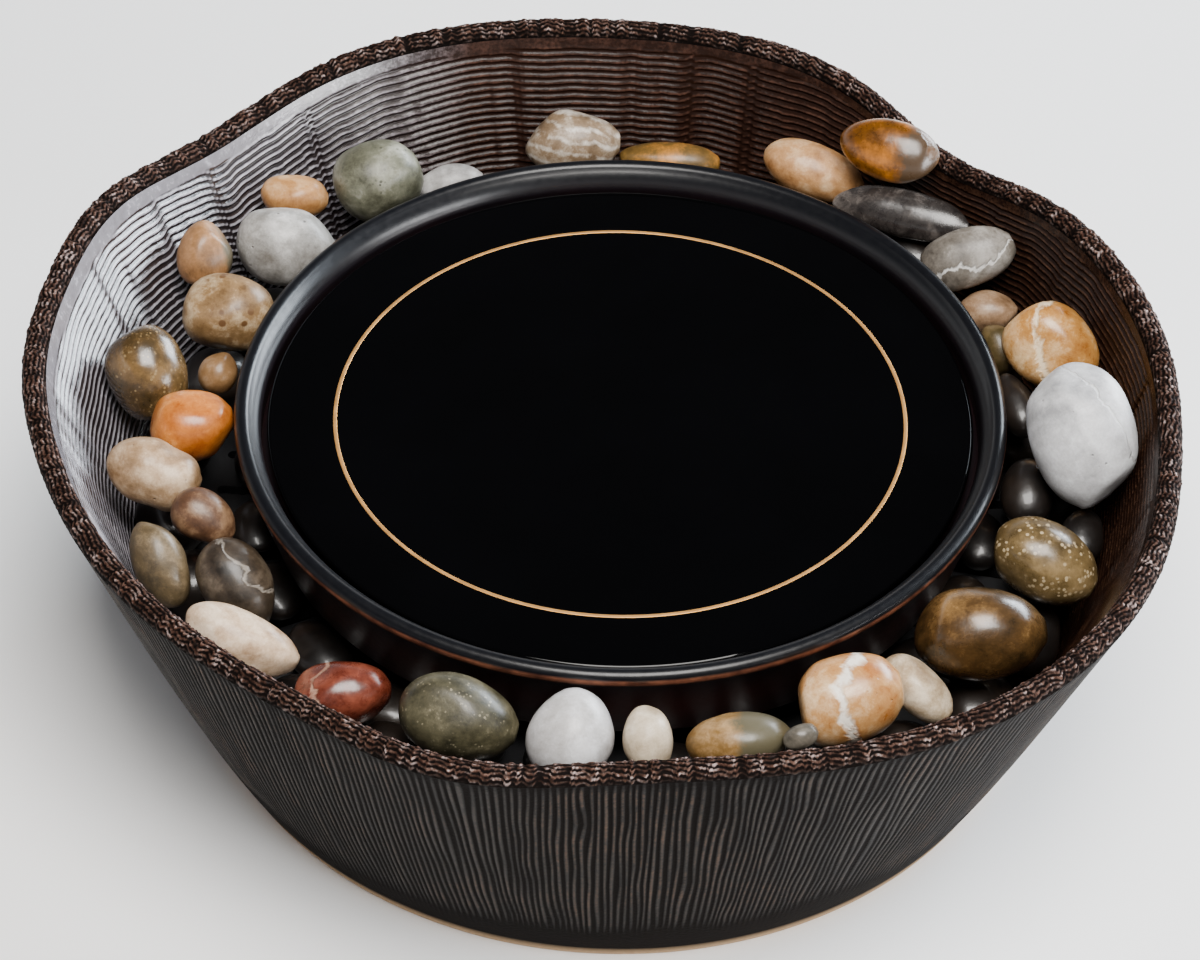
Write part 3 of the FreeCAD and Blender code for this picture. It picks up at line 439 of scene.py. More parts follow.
def make_bowl():
    wall = BowlWall()
    material = stoneware()
    foot_z = wall.low.z

    # heights of the rim all round, evened out
    coarse = np.linspace(0, TURN, 360, endpoint=False)
    rim = smooth_round(np.array([[wall.rim(a) for a in coarse]]), 4)[0]
    rim_at = lambda angle: float(np.interp(angle % TURN, np.append(coarse, TURN), np.append(rim, rim[0])))

    # outside wall, lip and foot
    angles = np.linspace(0, TURN, OUTER_COLUMNS, endpoint=False)
    step = 6
    knots = angles[::step]
    shares = np.linspace(0, 1, OUTER_ROWS)
    top_drop = 0.0042
    radii = np.zeros((OUTER_ROWS, len(knots)))
    heights = np.zeros((OUTER_ROWS, len(knots)))
    inner_top = np.zeros(len(knots))
    for j, angle in enumerate(knots):
        top = rim_at(angle) - top_drop
        for i, share in enumerate(shares):
            z = foot_z + 0.0004 + (top - foot_z - 0.0004) * share
            heights[i, j] = z
            radii[i, j] = wall.outside(angle, z)
        inner_top[j] = wall.inside(angle, top)
    radii = smooth_round(radii, 8)
    inner_top = smooth_round(inner_top[None], 8)[0]

    def widen(row):
        return np.interp(angles, np.append(knots, TURN), np.append(row, row[0]))
    radii = np.array([widen(row) for row in radii])
    heights = np.array([widen(row) for row in heights])
    inner_top = widen(inner_top)

    rows, ridge_rows, lip_rows, bare_rows = [], [], [], []
    # underside of the foot: from the recess out to the wall
    ring_inner = 0.115
    recess = 0.004
    foot_outline = ((0.049, recess), (ring_inner - 0.002, recess), (ring_inner, recess - 0.002),
                    (ring_inner, 0.0003), (ring_inner + 0.0006, 0.0), (0.1262, 0.0))
    for radius, z in foot_outline:
        rows.append(np.stack([radius * np.cos(angles), radius * np.sin(angles), np.full_like(angles, z)], 1))
        ridge_rows.append(np.zeros_like(angles))
        lip_rows.append(np.zeros_like(angles))
        bare_rows.append(np.ones_like(angles))
    wander = np.array([[wandering(a, 9.0 * z, 7.0, 3.0) for a in knots] for z in (0.02, 0.045, 0.07, 0.095, 0.12)])
    wander = np.array([widen(row) for row in wander])
    wave = np.array([[wandering(a, 60.0 * z, 34.0, 8.0) for a in angles] for z in np.linspace(0, 0.12, 10)])
    patch = np.array([widen([wandering(a, 1.0, 4.0, 5.0) for a in knots])])[0]
    for i, share in enumerate(shares):
        z = heights[i]
        level = float(np.clip((np.mean(z) - 0.02) / 0.1 * 4, 0, 4))
        low = int(min(level, 3))
        drift = wander[low] * (1 - (level - low)) + wander[low + 1] * (level - low)
        wlevel = float(np.clip(np.mean(z) / 0.12 * 9, 0, 9))
        wlow = int(min(wlevel, 8))
        ripple = wave[wlow] * (1 - (wlevel - wlow)) + wave[wlow + 1] * (wlevel - wlow)
        phase = OUTER_RIBS * angles + 8.0 * drift + 3.2 * ripple
        ridge = (0.5 + 0.5 * np.cos(phase)) ** 1.2
        fade = np.clip((z - (0.017 + 0.006 * patch)) / 0.010, 0, 1) * np.clip((1.02 - share) / 0.05, 0, 1)
        depth = 0.00048 * (0.75 + 0.5 * ripple)
        radius = radii[i] - depth * fade * (1 - ridge)
        rows.append(np.stack([radius * np.cos(angles), radius * np.sin(angles), z], 1))
        ridge_rows.append(ridge * fade * (0.86 + 0.4 * ripple) + 0.18 * (1 - fade))
        lip_rows.append(np.full_like(angles, 0.0))
        bare_rows.append(np.clip((0.0022 + 0.0008 * patch - (z - foot_z)) / 0.0006, 0, 1))
    # lip: rolled over from the outside to the inside, with slanted strands
    centre = (radii[-1] + inner_top) / 2
    half = (radii[-1] - inner_top) / 2
    top = heights[-1]
    lumps = np.array([wandering(a, 0.0, 62.0, 1.0) for a in angles])
    small = np.array([wandering(a, 0.0, 170.0, 2.0) for a in angles])
    for i in range(1, LIP_ROWS + 1):
        t = math.pi * i / (LIP_ROWS + 1)
        phase = LIP_STRANDS * angles + 15.0 * t + 5.5 * lumps + 2.4 * small
        second = 1.7 * LIP_STRANDS * angles + 9.0 * t + 7.0 * small
        strand = 0.62 * (0.5 + 0.5 * np.cos(phase)) + 0.38 * (0.5 + 0.5 * np.cos(second))
        strand = strand * (0.8 + 0.5 * small + 0.3 * lumps)
        swell = 0.0008 * math.sin(t) ** 0.5 * (strand - 0.58) + 0.0003 * lumps
        out = (half + swell) * math.cos(t)
        up = (top_drop + swell) * math.sin(t) ** 0.9
        radius = centre + out
        rows.append(np.stack([radius * np.cos(angles), radius * np.sin(angles), top + up], 1))
        ridge_rows.append(strand)
        lip_rows.append(np.full_like(angles, min(1.0, 1.6 * math.sin(t))))
        bare_rows.append(np.zeros_like(angles))
    # the lip ends where the inside wall starts
    radius = inner_top
    rows.append(np.stack([radius * np.cos(angles), radius * np.sin(angles), top], 1))
    ridge_rows.append(np.full_like(angles, 0.3))
    lip_rows.append(np.zeros_like(angles))
    bare_rows.append(np.zeros_like(angles))
    first = 5 + OUTER_ROWS
    lip_piece = stand_in("bowl_lip", np.concatenate(rows[first:]), strip_faces(len(rows) - first, OUTER_COLUMNS),
                         "bowl", "base", material, sharp=75)
    count = OUTER_COLUMNS * (len(rows) - first)
    set_shares(lip_piece, ridge=np.concatenate(ridge_rows[first:]), lip=np.concatenate(lip_rows[first:]),
               bare=np.zeros(count), inside=np.zeros(count))
    rows, ridge_rows = rows[:first + 1], ridge_rows[:first + 1]
    lip_rows, bare_rows = lip_rows[:first + 1], bare_rows[:first + 1]
    vertices = np.concatenate(rows)
    faces = strip_faces(len(rows), OUTER_COLUMNS)
    # flat floor of the recess, with the pad in its middle
    pad_rows = []
    base = len(vertices)
    for radius, z in ((0.0478, recess), (0.0478, 0.0004), (0.0472, 0.0)):
        pad_rows.append(np.stack([radius * np.cos(angles[::12]), radius * np.sin(angles[::12]),
                                  np.full(len(angles[::12]), z)], 1))
    pad = np.concatenate(pad_rows)
    count = len(angles[::12])
    vertices = np.concatenate([vertices, pad, [[0, 0, 0.0]]])
    for i in range(2):
        for j in range(count):
            k = (j + 1) % count
            faces.append((base + i * count + k, base + i * count + j, base + (i + 1) * count + j,
                          base + (i + 1) * count + k))
    middle = len(vertices) - 1
    for j in range(count):
        k = (j + 1) % count
        faces.append((base + 2 * count + k, base + 2 * count + j, middle))
        for m in range(12):
            a = 12 * j + m
            b = (a + 1) % OUTER_COLUMNS
            if m == 6:
                faces.append((base + j, base + k, b, a))
            elif m < 6:
                faces.append((base + j, b, a))
            else:
                faces.append((base + k, b, a))
    outer = stand_in("bowl_outside", vertices, faces, "bowl", "base", material, sharp=75)
    tail = np.zeros(len(vertices) - sum(len(r) for r in rows))
    set_shares(outer, ridge=np.concatenate(ridge_rows + [tail]), lip=np.concatenate(lip_rows + [tail]),
               bare=np.concatenate(bare_rows + [tail + 1]), inside=np.zeros(len(vertices)))

    # inside wall and floor
    inner_angles = np.linspace(0, TURN, INNER_COLUMNS, endpoint=False)
    sparse = inner_angles[::4]
    levels = np.linspace(0, 1, 40)
    floor_z = 0.012
    grid = np.zeros((40, len(sparse)))
    zs = np.zeros((40, len(sparse)))
    for j, angle in enumerate(sparse):
        top_z = rim_at(angle) - top_drop
        for i, share in enumerate(levels):
            z = floor_z + 0.0005 + (top_z - floor_z - 0.0005) * share
            zs[i, j] = z
            grid[i, j] = wall.inside(angle, z)
    grid = smooth_round(grid, 3)

    def spread(row):
        return np.interp(inner_angles, np.append(sparse, TURN), np.append(row, row[0]))
    grid = np.array([spread(row) for row in grid])
    zs = np.array([spread(row) for row in zs])
    rows, ridge_rows = [], []
    fine = np.concatenate([np.linspace(0, HIDDEN_SHARE, HIDDEN_ROWS, endpoint=False),
                           np.linspace(HIDDEN_SHARE, 1, INNER_ROWS - HIDDEN_ROWS)])
    kinks = np.array([wandering(a, 0.0, 9.0, 11.0) + 0.45 * wandering(a, 0.0, 26.0, 12.0) for a in inner_angles])
    jog = np.array([wandering(a, 0.0, 55.0, 14.0) for a in inner_angles])
    rng = np.random.default_rng(21)
    edges = (np.arange(COMB_STROKES) + rng.uniform(-0.3, 0.3, COMB_STROKES)) * TURN / COMB_STROKES
    stroke = np.searchsorted(edges, inner_angles) % COMB_STROKES
    offset = rng.uniform(-0.4, 0.4, COMB_STROKES)[stroke]
    tilt = rng.uniform(-5.0, 5.0, COMB_STROKES)[stroke] * ((inner_angles - edges[stroke - 1]) % TURN)
    offset = smooth_round((offset + tilt)[None], 1)[0]
    strip = SMOOTH_STRIP + 0.010 * np.sin(inner_angles) - 0.012 * np.cos(inner_angles - 2.8) + 0.008 * kinks
    floor_rings = (0.03, 0.06, 0.09, 0.112)
    for share in fine:
        at = share * 39
        low = int(min(at, 38))
        part = at - low
        radius = grid[low] * (1 - part) + grid[low + 1] * part
        z = zs[low] * (1 - part) + zs[low + 1] * part
        combed = np.clip((strip - share) / 0.015, 0, 1) * min(max((share - HIDDEN_SHARE) / 0.03, 0), 1)
        phase = TURN * (INNER_RIBS * share + 0.6 * kinks + offset + 0.14 * jog * (1 + math.sin(40 * share)))
        ridge = 0.5 + 0.5 * np.cos(phase)
        radius = radius + 0.0007 * combed * (1 - ridge) - 0.00025 * combed
        rows.append(np.stack([radius * np.cos(inner_angles), radius * np.sin(inner_angles), z], 1))
        ridge_rows.append(ridge * combed + 0.72 * (1 - combed))
    start = []
    for radius in floor_rings:
        start.append(np.stack([radius * np.cos(inner_angles), radius * np.sin(inner_angles),
                               np.full(INNER_COLUMNS, floor_z)], 1))
    rows = start + rows
    ridge_rows = [np.full(INNER_COLUMNS, 0.2)] * len(start) + ridge_rows
    halfway = len(rows) // 2
    for name, part in (("bowl_inside_low", slice(0, halfway + 1)), ("bowl_inside_high", slice(halfway, None))):
        points = np.concatenate(rows[part])
        ridge = np.concatenate(ridge_rows[part])
        faces = [tuple(reversed(f)) for f in strip_faces(len(rows[part]), INNER_COLUMNS)]
        if part.start == 0:
            faces += [(j, (j + 1) % INNER_COLUMNS, len(points)) for j in range(INNER_COLUMNS)]
            points = np.concatenate([points, [[0, 0, floor_z]]])
            ridge = np.append(ridge, 0.2)
        inner = stand_in(name, points, faces, "bowl", "base", material, sharp=75)
        set_shares(inner, ridge=ridge, lip=np.zeros(len(ridge)), bare=np.zeros(len(ridge)), inside=np.ones(len(ridge)))


# ---------------------------------------------------------------- dish, plate and ring
def glaze():
    """Black gloss glaze that turns red-brown down the wall and breaks to copper on the lip's edge."""
    finish = Finish("black_glaze")
    _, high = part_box("spill_dish")
    height = finish.add("ShaderNodeSeparateXYZ", {0: finish.place}).outputs[2]
    flat = finish.add("ShaderNodeVectorMath", {0: finish.place, 1: (1, 1, 0)}, operation="MULTIPLY").outputs[0]
    radius = finish.add("ShaderNodeVectorMath", {0: flat}, operation="LENGTH").outputs["Value"]
    broad = finish.noise(18.0, 3.0)
    runs = finish.noise(160.0, 3.0)
    outside = finish.span(radius, high.x - 0.0105, high.x - 0.0035)
    down = finish.span(height, high.z - 0.003, high.z - 0.020)
    red = finish.blend(finish.span(broad, 0.35, 0.65), tint(38, 12, 10), tint(62, 24, 20))
    colour = finish.blend(finish.value("MULTIPLY", outside, down), tint(9, 10, 14), red)
    edge = finish.span(radius, high.x - 0.0012, high.x - 0.0004)
    band = finish.value("MULTIPLY", finish.span(height, high.z - 0.0044, high.z - 0.0034),
                        finish.span(height, high.z - 0.0016, high.z - 0.0024))
    breaks = finish.value("MULTIPLY", finish.value("MULTIPLY", edge, band), finish.span(runs, 0.32, 0.62, 0.35, 1.0))
    colour = finish.blend(breaks, colour, finish.blend(runs, tint(98, 52, 36), tint(150, 98, 74)))
    slow = finish.bump(finish.noise(34.0, 2.0), 0.0005, 0.35)
    finish.set(Base_Color=colour, Roughness=finish.span(finish.noise(500.0), 0.3, 0.7, 0.28, 0.36), IOR=1.58,
               Normal=finish.bump(finish.noise(420.0, 2.0), 0.00006, 0.25, slow), Coat_Weight=0.06,
               Specular_IOR_Level=0.27)
    finish.surface.inputs["Coat Roughness"].default_value = 0.14
    return finish.material


def make_dish():
    low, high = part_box("spill_dish")
    rim, top, foot = high.x, high.z, low.z
    under = foot + 0.003
    base = rim - 0.008
    ledge_out, ledge_in = 0.1072, 0.1010
    ledge = top - 0.0132
    floor_top = under + 0.0055
    hole = 0.0082
    lip_out, lip_in = (rim, top - 0.0028), (rim - 0.0046, top - 0.0013)
    slope_end = (ledge_out, top - 0.0072)
    profile = line_points((base, under + 0.0025), lip_out, 14)[:-1]
    profile += arc_points(lip_out, (rim - 0.0024, top), lip_in, 14)[:-1]
    profile += arc_points(lip_in, (rim - 0.0067, top - 0.0038), slope_end, 8)[:-1]
    profile += line_points(slope_end, (ledge_out, ledge), 2)[:-1]
    profile += line_points((ledge_out, ledge), (ledge_in, ledge), 2)[:-1]
    profile += line_points((ledge_in, ledge), (ledge_in, floor_top + 0.003), 2)[:-1]
    profile += arc_points((ledge_in, floor_top + 0.003), (ledge_in - 0.00088, floor_top + 0.00088),
                          (ledge_in - 0.003, floor_top), 5)[:-1]
    profile += line_points((ledge_in - 0.003, floor_top), (hole, floor_top), 10)[:-1]
    profile += line_points((hole, floor_top), (hole, under), 2)[:-1]
    profile += line_points((hole, under), (0.084, under), 6)[:-1]
    profile += [(0.084, under), (0.0844, foot), (0.0916, foot), (0.092, foot + 0.0005), (0.092, under)]
    profile += arc_points((base - 0.0025, under), (base - 0.00073, under + 0.00073), (base, under + 0.0025), 5)[:-1]

    def hand_thrown(radius, z, angle):
        """The clay wanders a little, less than the glaze is thick."""
        if radius < ledge_in:
            return radius, z
        sway = noise.noise(Vector((2.2 * math.cos(angle), 2.2 * math.sin(angle), 30 * z)))
        return radius + 0.00018 * sway, z + 0.00012 * sway
    lathe("dish", profile, 360, "spill_dish", "dish", glaze(), sharp=40, wobble=hand_thrown)


def make_plate():
    low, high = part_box("mirror_plate")
    ring_low, ring_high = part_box("gold_ring")
    rim, top, bottom = high.x, high.z, low.z
    ease = 0.0012
    groove_out, groove_floor = ring_high.x, ring_low.z
    groove_in = groove_out - 0.0012
    profile = [(0.0001, bottom), (0.05, bottom), (rim - 0.0004, bottom), (rim, bottom + 0.0004)]
    profile += arc_points((rim, top - ease), (rim - 0.29 * ease, top - 0.29 * ease), (rim - ease, top), 8)
    profile += [(groove_out, top), (groove_out, groove_floor), (groove_in, groove_floor), (groove_in, top)]
    profile += [(0.05, top), (0.0001, top)]
    finish = Finish("mirror_black")
    haze = finish.noise(26.0, 4.0)
    dust = finish.noise(1500.0, 2.0)
    dull = finish.value("ADD", haze, finish.value("MULTIPLY", dust, 0.2))
    finish.set(Base_Color=finish.blend(haze, tint(1, 1, 1), tint(3, 3, 4)), IOR=1.5, Specular_IOR_Level=0.22,
               Roughness=finish.span(dull, 0.4, 0.9, 0.015, 0.06))
    lathe("plate", profile, 360, "mirror_plate", "plate", finish.material, sharp=30)

    soft = 0.00022
    ring = [(groove_in + 0.00002, groove_floor), (groove_out - 0.00002, groove_floor)]
    ring += arc_points((groove_out - 0.00002, top - soft), (groove_out - 0.3 * soft, top + 0.2 * soft),
                       (groove_out - soft, top + 0.4 * soft), 3)
    ring += arc_points((groove_in + soft, top + 0.4 * soft), (groove_in + 0.3 * soft, top + 0.2 * soft),
                       (groove_in + 0.00002, top - soft), 3)
    finish = Finish("gold")
    worn = finish.noise(240.0, 4.0)
    finish.set(Base_Color=finish.blend(worn, tint(208, 150, 84), tint(226, 172, 104)), Metallic=0.75,
               Roughness=finish.span(worn, 0.3, 0.7, 0.42, 0.55), Normal=finish.bump(finish.noise(3000.0), 0.00002))
    lathe("ring", ring, 360, "gold_ring", "plate", finish.material, sharp=50)


# ---------------------------------------------------------------- pebbles
def sphere(levels):
    """Vertices and triangles of an even sphere."""
    ball = bmesh.new()
    bmesh.ops.create_icosphere(ball, subdivisions=levels, radius=1.0)
    ball.verts.ensure_lookup_table()
    vertices = np.array([v.co[:] for v in ball.verts])
    faces = [tuple(v.index for v in f.verts) for f in ball.faces]
    ball.free()
    return vertices, faces


SPHERES = {levels: sphere(levels) for levels in (3, 4, 5)}


def pebble_surface(vertices, triangles, levels, seed, flats=4, rounding=ROUNDING):
    """A river pebble from a CAD pebble: read by rays, drawn part way to an egg, rubbed flat and gently lumpy."""
    target = ray_target(vertices, triangles)
    centred = vertices - vertices.mean(0)
    axes = np.linalg.svd(centred, full_matrices=False)[2]
    along = centred @ axes.T
    sizes = (along.max(0) - along.min(0)) / 2
    centre = vertices.mean(0) + ((along.max(0) + along.min(0)) / 2) @ axes
    unit, faces = SPHERES[levels]
    directions = (unit * sizes) @ axes
    if np.linalg.det(axes) < 0:
        faces = [tuple(reversed(f)) for f in faces]
    rng = np.random.default_rng(seed)
    points = np.zeros_like(directions)
    far = 4 * sizes.max()
    for i, direction in enumerate(directions):
        ray = Vector(direction).normalized()
        hit = target.ray_cast(Vector(centre), ray, far)[0]
        points[i] = hit if hit is not None else Vector(centre) + Vector(direction)
    points += rounding * (centre + directions * 0.97 - points)
    # rubbed flats, blended in
    size = float(sizes.mean())
    for _ in range(flats):
        normal = rng.normal(size=3)
        normal /= np.linalg.norm(normal)
        reach = (points - centre) @ normal
        level = reach.max() * rng.uniform(0.80, 0.93)
        over = reach - level
        soft = 0.10 * size
        cut = 0.8 * (np.sqrt(over**2 + soft**2) + over) / 2
        cut = np.where(over > -0.5 * size, cut - 0.8 * (math.sqrt(0.25 * size**2 + soft**2) - 0.5 * size) / 2, 0)
        points -= np.clip(cut, 0, None)[:, None] * normal
    offset = Vector(rng.uniform(-50, 50, 3))
    moved = np.zeros(len(points))
    for i, point in enumerate(points):
        p = Vector((point - centre) / size)
        moved[i] = (0.030 * noise.noise(p * 0.9 + offset) + 0.010 * noise.noise(p * 2.6 + offset)
                    + 0.0035 * noise.noise(p * 7.0 + offset) - 0.012)
    outward = (points - centre) / np.linalg.norm(points - centre, axis=1)[:, None]
    points += size * moved[:, None] * outward
    return points, faces


def deepen(colour, share):
    """A darker and fuller tone of a stone's colour."""
    middle = sum(colour) / 3
    return tint(*[max(share * (middle + 1.22 * (c - middle)), 4) for c in colour])


def stone(name, low, mid, high, seed, centre, scale=1.0, speckle=None, vein=None, patch=None, wet=0.35, rough=0.44,
          streak=None, pits=0.0):
    """Polished river stone in three tones, with optional speckles, veins, streaks and a patch of another tone."""
    own_middle = np.random.default_rng(seed).uniform(1, 4, 3)
    finish = Finish(name, origin=tuple(centre - own_middle))
    broad = finish.noise(55.0 * scale, 4.0, 0.6, 0.6)
    middle = finish.noise(190.0 * scale, 5.0, 0.65, 0.3)
    fine = finish.noise(1300.0, 4.0, 0.7)
    tone = finish.value("ADD", finish.value("MULTIPLY", broad, 0.52), finish.value("MULTIPLY", middle, 0.34))
    tone = finish.value("ADD", tone, finish.value("MULTIPLY", fine, 0.14))
    colour = finish.ramp(tone, (0.38, deepen(low, 0.78)), (0.50, deepen(mid, 0.86)), (0.62, deepen(high, 0.95)))
    if streak:
        streak_tone, direction = streak
        wavy = finish.value("ADD", finish.along(direction), finish.value("MULTIPLY", broad, 0.010))
        lines = finish.value("SINE", finish.value("MULTIPLY", wavy, 1500.0))
        share = finish.value("MULTIPLY", finish.span(lines, 0.1, 0.95), finish.span(middle, 0.4, 0.62))
        colour = finish.blend(share, colour, tint(*streak_tone))
    if patch:
        patch_tone, direction, level = patch
        edge = float(own_middle @ np.array(direction)) + level
        wavy = finish.value("ADD", finish.along(direction), finish.span(middle, 0.0, 1.0, -0.006, 0.006))
        colour = finish.blend(finish.span(wavy, edge - 0.0015, edge + 0.0015), colour, tint(*patch_tone))
    if speckle:
        speckle_tone, size, area = speckle
        keep = finish.span(finish.noise(size * 0.35, 2.0), 0.5 - area, 0.62 - area)
        share = finish.value("MULTIPLY", finish.span(finish.cells(size), 0.36, 0.26), keep)
        colour = finish.blend(share, colour, tint(*speckle_tone))
    normal = finish.bump(fine, 0.00006, 0.6)
    if vein:
        vein_tone, direction, level, width = vein
        start = float(own_middle @ np.array(direction)) + level
        off = finish.value("SUBTRACT", finish.along(direction), start)
        off = finish.value("ADD", off, finish.span(broad, 0.0, 1.0, -0.008, 0.008))
        share = finish.span(finish.value("ABSOLUTE", off), width, width * 0.35)
        share = finish.value("MULTIPLY", share, finish.span(middle, 0.34, 0.5, 0.25, 1.0))
        colour = finish.blend(share, colour, tint(*vein_tone))
        normal = finish.bump(share, -0.0004, 0.7, normal)
    if pits:
        holes = finish.span(finish.cells(330.0), 0.16, 0.05)
        holes = finish.value("MULTIPLY", holes, finish.span(finish.noise(120.0), 0.56, 0.62))
        normal = finish.bump(holes, -0.0006 * pits, 1.0, normal)
        colour = finish.blend(finish.value("MULTIPLY", holes, 0.6), colour, tint(*[0.45 * c for c in low]))
    normal = finish.bump(middle, 0.0003, 0.35, normal)
    finish.set(Base_Color=colour, Roughness=finish.span(middle, 0.3, 0.7, rough * 0.8, rough * 1.2), IOR=1.52,
               Normal=normal, Coat_Weight=0.5 * wet, Specular_IOR_Level=0.42)
    finish.surface.inputs["Coat Roughness"].default_value = 0.2
    return finish.material


# Tones of each upper pebble: dark, middle and light, then what else marks it
STONES = {
    "pebble_01_streaked_brown": dict(low=(92, 74, 54), mid=(142, 122, 100), high=(192, 180, 164),
                                     streak=((205, 196, 184), (0.2, 0.5, 0.9))),
    "pebble_02_olive_orange": dict(low=(70, 58, 34), mid=(122, 96, 54), high=(190, 134, 66), wet=0.5),
    "pebble_03_pale_grey": dict(low=(150, 146, 144), mid=(186, 184, 182), high=(216, 214, 214)),
    "pebble_04_green_grey": dict(low=(76, 76, 62), mid=(120, 120, 104), high=(156, 156, 144), wet=0.25,
                                 speckle=((70, 70, 58), 620.0, 0.0)),
    "pebble_05_orange_tan": dict(low=(158, 108, 62), mid=(198, 150, 100), high=(218, 184, 146)),
    "pebble_06_light_grey": dict(low=(134, 130, 124), mid=(176, 174, 170), high=(212, 210, 208), pits=1.0, wet=0.3),
    "pebble_07_brown_tan": dict(low=(112, 82, 52), mid=(156, 118, 82), high=(180, 142, 108),
                                patch=((92, 84, 66), (0.9, 0.3, -0.2), 0.005)),
    "pebble_08_mottled_tan": dict(low=(104, 78, 48), mid=(150, 122, 88), high=(206, 186, 156), wet=0.3,
                                  speckle=((96, 66, 36), 260.0, 0.04)),
    "pebble_09_small_tan": dict(low=(118, 86, 52), mid=(150, 118, 84), high=(172, 148, 124)),
    "pebble_10_olive_brown": dict(low=(40, 33, 19), mid=(76, 60, 37), high=(110, 88, 58), wet=0.9, rough=0.25,
                                  speckle=((132, 110, 76), 760.0, 0.0)),
    "pebble_11_orange": dict(low=(176, 98, 36), mid=(208, 134, 68), high=(232, 176, 114), wet=0.5, rough=0.32),
    "pebble_12_beige": dict(low=(132, 102, 70), mid=(178, 150, 120), high=(212, 190, 164), pits=0.6),
    "pebble_13_small_brown": dict(low=(60, 40, 28), mid=(96, 70, 52), high=(138, 112, 88)),
    "pebble_14_olive_grey": dict(low=(60, 51, 35), mid=(100, 86, 64), high=(142, 126, 102), wet=0.4),
    "pebble_15_dark_grey": dict(low=(34, 28, 22), mid=(68, 58, 47), high=(104, 93, 80), wet=0.5,
                                vein=((126, 118, 108), (0.6, 0.2, 0.77), 0.006, 0.0006)),
    "pebble_16_cream_flat": dict(low=(176, 142, 108), mid=(220, 194, 166), high=(240, 222, 200), wet=0.3),
    "pebble_17_red_brown": dict(low=(60, 24, 16), mid=(92, 44, 32), high=(126, 72, 56), wet=0.6, rough=0.28,
                                vein=((166, 128, 108), (0.83, -0.2, 0.5), -0.001, 0.0008)),
    "pebble_18_dark_green": dict(low=(50, 48, 36), mid=(84, 80, 62), high=(120, 114, 94), wet=0.4,
                                 speckle=((128, 120, 98), 900.0, -0.04)),
    "pebble_19_white_cone": dict(low=(206, 202, 198), mid=(226, 224, 224), high=(242, 242, 244), wet=0.3, rough=0.33),
    "pebble_20_cream_cone": dict(low=(214, 194, 166), mid=(236, 220, 196), high=(248, 238, 222), pits=0.7),
    "pebble_21_ochre": dict(low=(92, 72, 40), mid=(140, 110, 68), high=(176, 148, 112), wet=0.45,
                            patch=((86, 80, 60), (0.95, 0.0, 0.3), 0.002)),
    "pebble_22_grey_chip": dict(low=(84, 80, 72), mid=(120, 114, 104), high=(150, 144, 132)),
    "pebble_23_orange_cream": dict(low=(190, 124, 66), mid=(216, 168, 116), high=(240, 212, 176), wet=0.5, rough=0.32,
                                   vein=((250, 240, 226), (0.9, -0.1, 0.2), 0.002, 0.0018), pits=0.6),
    "pebble_24_cream_tan": dict(low=(150, 120, 86), mid=(206, 186, 158), high=(238, 224, 202)),
    "pebble_25_large_olive": dict(low=(44, 34, 20), mid=(84, 63, 38), high=(134, 106, 70), wet=0.8, rough=0.26,
                                  scale=0.7),
    "pebble_26_speckled": dict(low=(84, 70, 46), mid=(116, 98, 68), high=(142, 122, 90), wet=0.6, rough=0.3,
                               speckle=((176, 156, 122), 560.0, 0.08)),
    "pebble_27_large_white": dict(low=(190, 190, 192), mid=(222, 222, 224), high=(238, 240, 242), wet=0.15, rough=0.42,
                                  vein=((196, 196, 196), (0.75, 0.55, 0.35), 0.007, 0.0006), pits=0.5, scale=0.8),
    "pebble_28_marbled": dict(low=(158, 100, 44), mid=(194, 144, 84), high=(228, 198, 156), wet=0.6, rough=0.3,
                              vein=((232, 208, 172), (0.8, -0.3, 0.5), 0.002, 0.0012)),
    "pebble_29_olive_sliver": dict(low=(52, 44, 26), mid=(86, 74, 48), high=(112, 96, 68)),
    "pebble_30_pink_tan": dict(low=(112, 86, 62), mid=(156, 128, 102), high=(184, 160, 136)),
    "pebble_31_veined_grey": dict(low=(82, 76, 69), mid=(126, 120, 112), high=(170, 166, 160), wet=0.25,
                                  vein=((206, 204, 200), (-0.5, 0.3, 0.8), 0.0, 0.0007)),
    "pebble_32_flat_black": dict(low=(24, 20, 20), mid=(54, 50, 48), high=(98, 92, 88), wet=0.7, rough=0.25),
    "pebble_33_amber": dict(low=(62, 38, 12), mid=(108, 68, 20), high=(166, 108, 44), wet=0.7, rough=0.3,
                            patch=((66, 50, 34), (0.7, -0.6, 0.3), 0.006),
                            vein=((86, 60, 36), (0.9, 0.1, 0.2), 0.0130, 0.0012)),
    "pebble_34_tan_orange": dict(low=(158, 112, 70), mid=(198, 154, 110), high=(222, 192, 156), wet=0.4),
}


BLUNT = ("pebble_07_brown_tan", "pebble_09_small_tan", "pebble_14_olive_grey", "pebble_19_white_cone",
         "pebble_20_cream_cone", "pebble_33_amber")


def make_pebbles():
    for number, (name, look) in enumerate(sorted(STONES.items())):
        vertices, triangles = node_arrays(name)
        rounding = BLUNT_ROUNDING if name in BLUNT else ROUNDING
        points, faces = pebble_surface(vertices, triangles, 5, 100 + number, rounding=rounding)
        slot = "stone_" + name.split("_", 2)[2]
        centre = (vertices.max(0) + vertices.min(0)) / 2
        material = stone(slot, seed=200 + number, centre=centre, **look)
        stand_in("stone" + name[len("pebble"):], points, faces, name, "base", material)


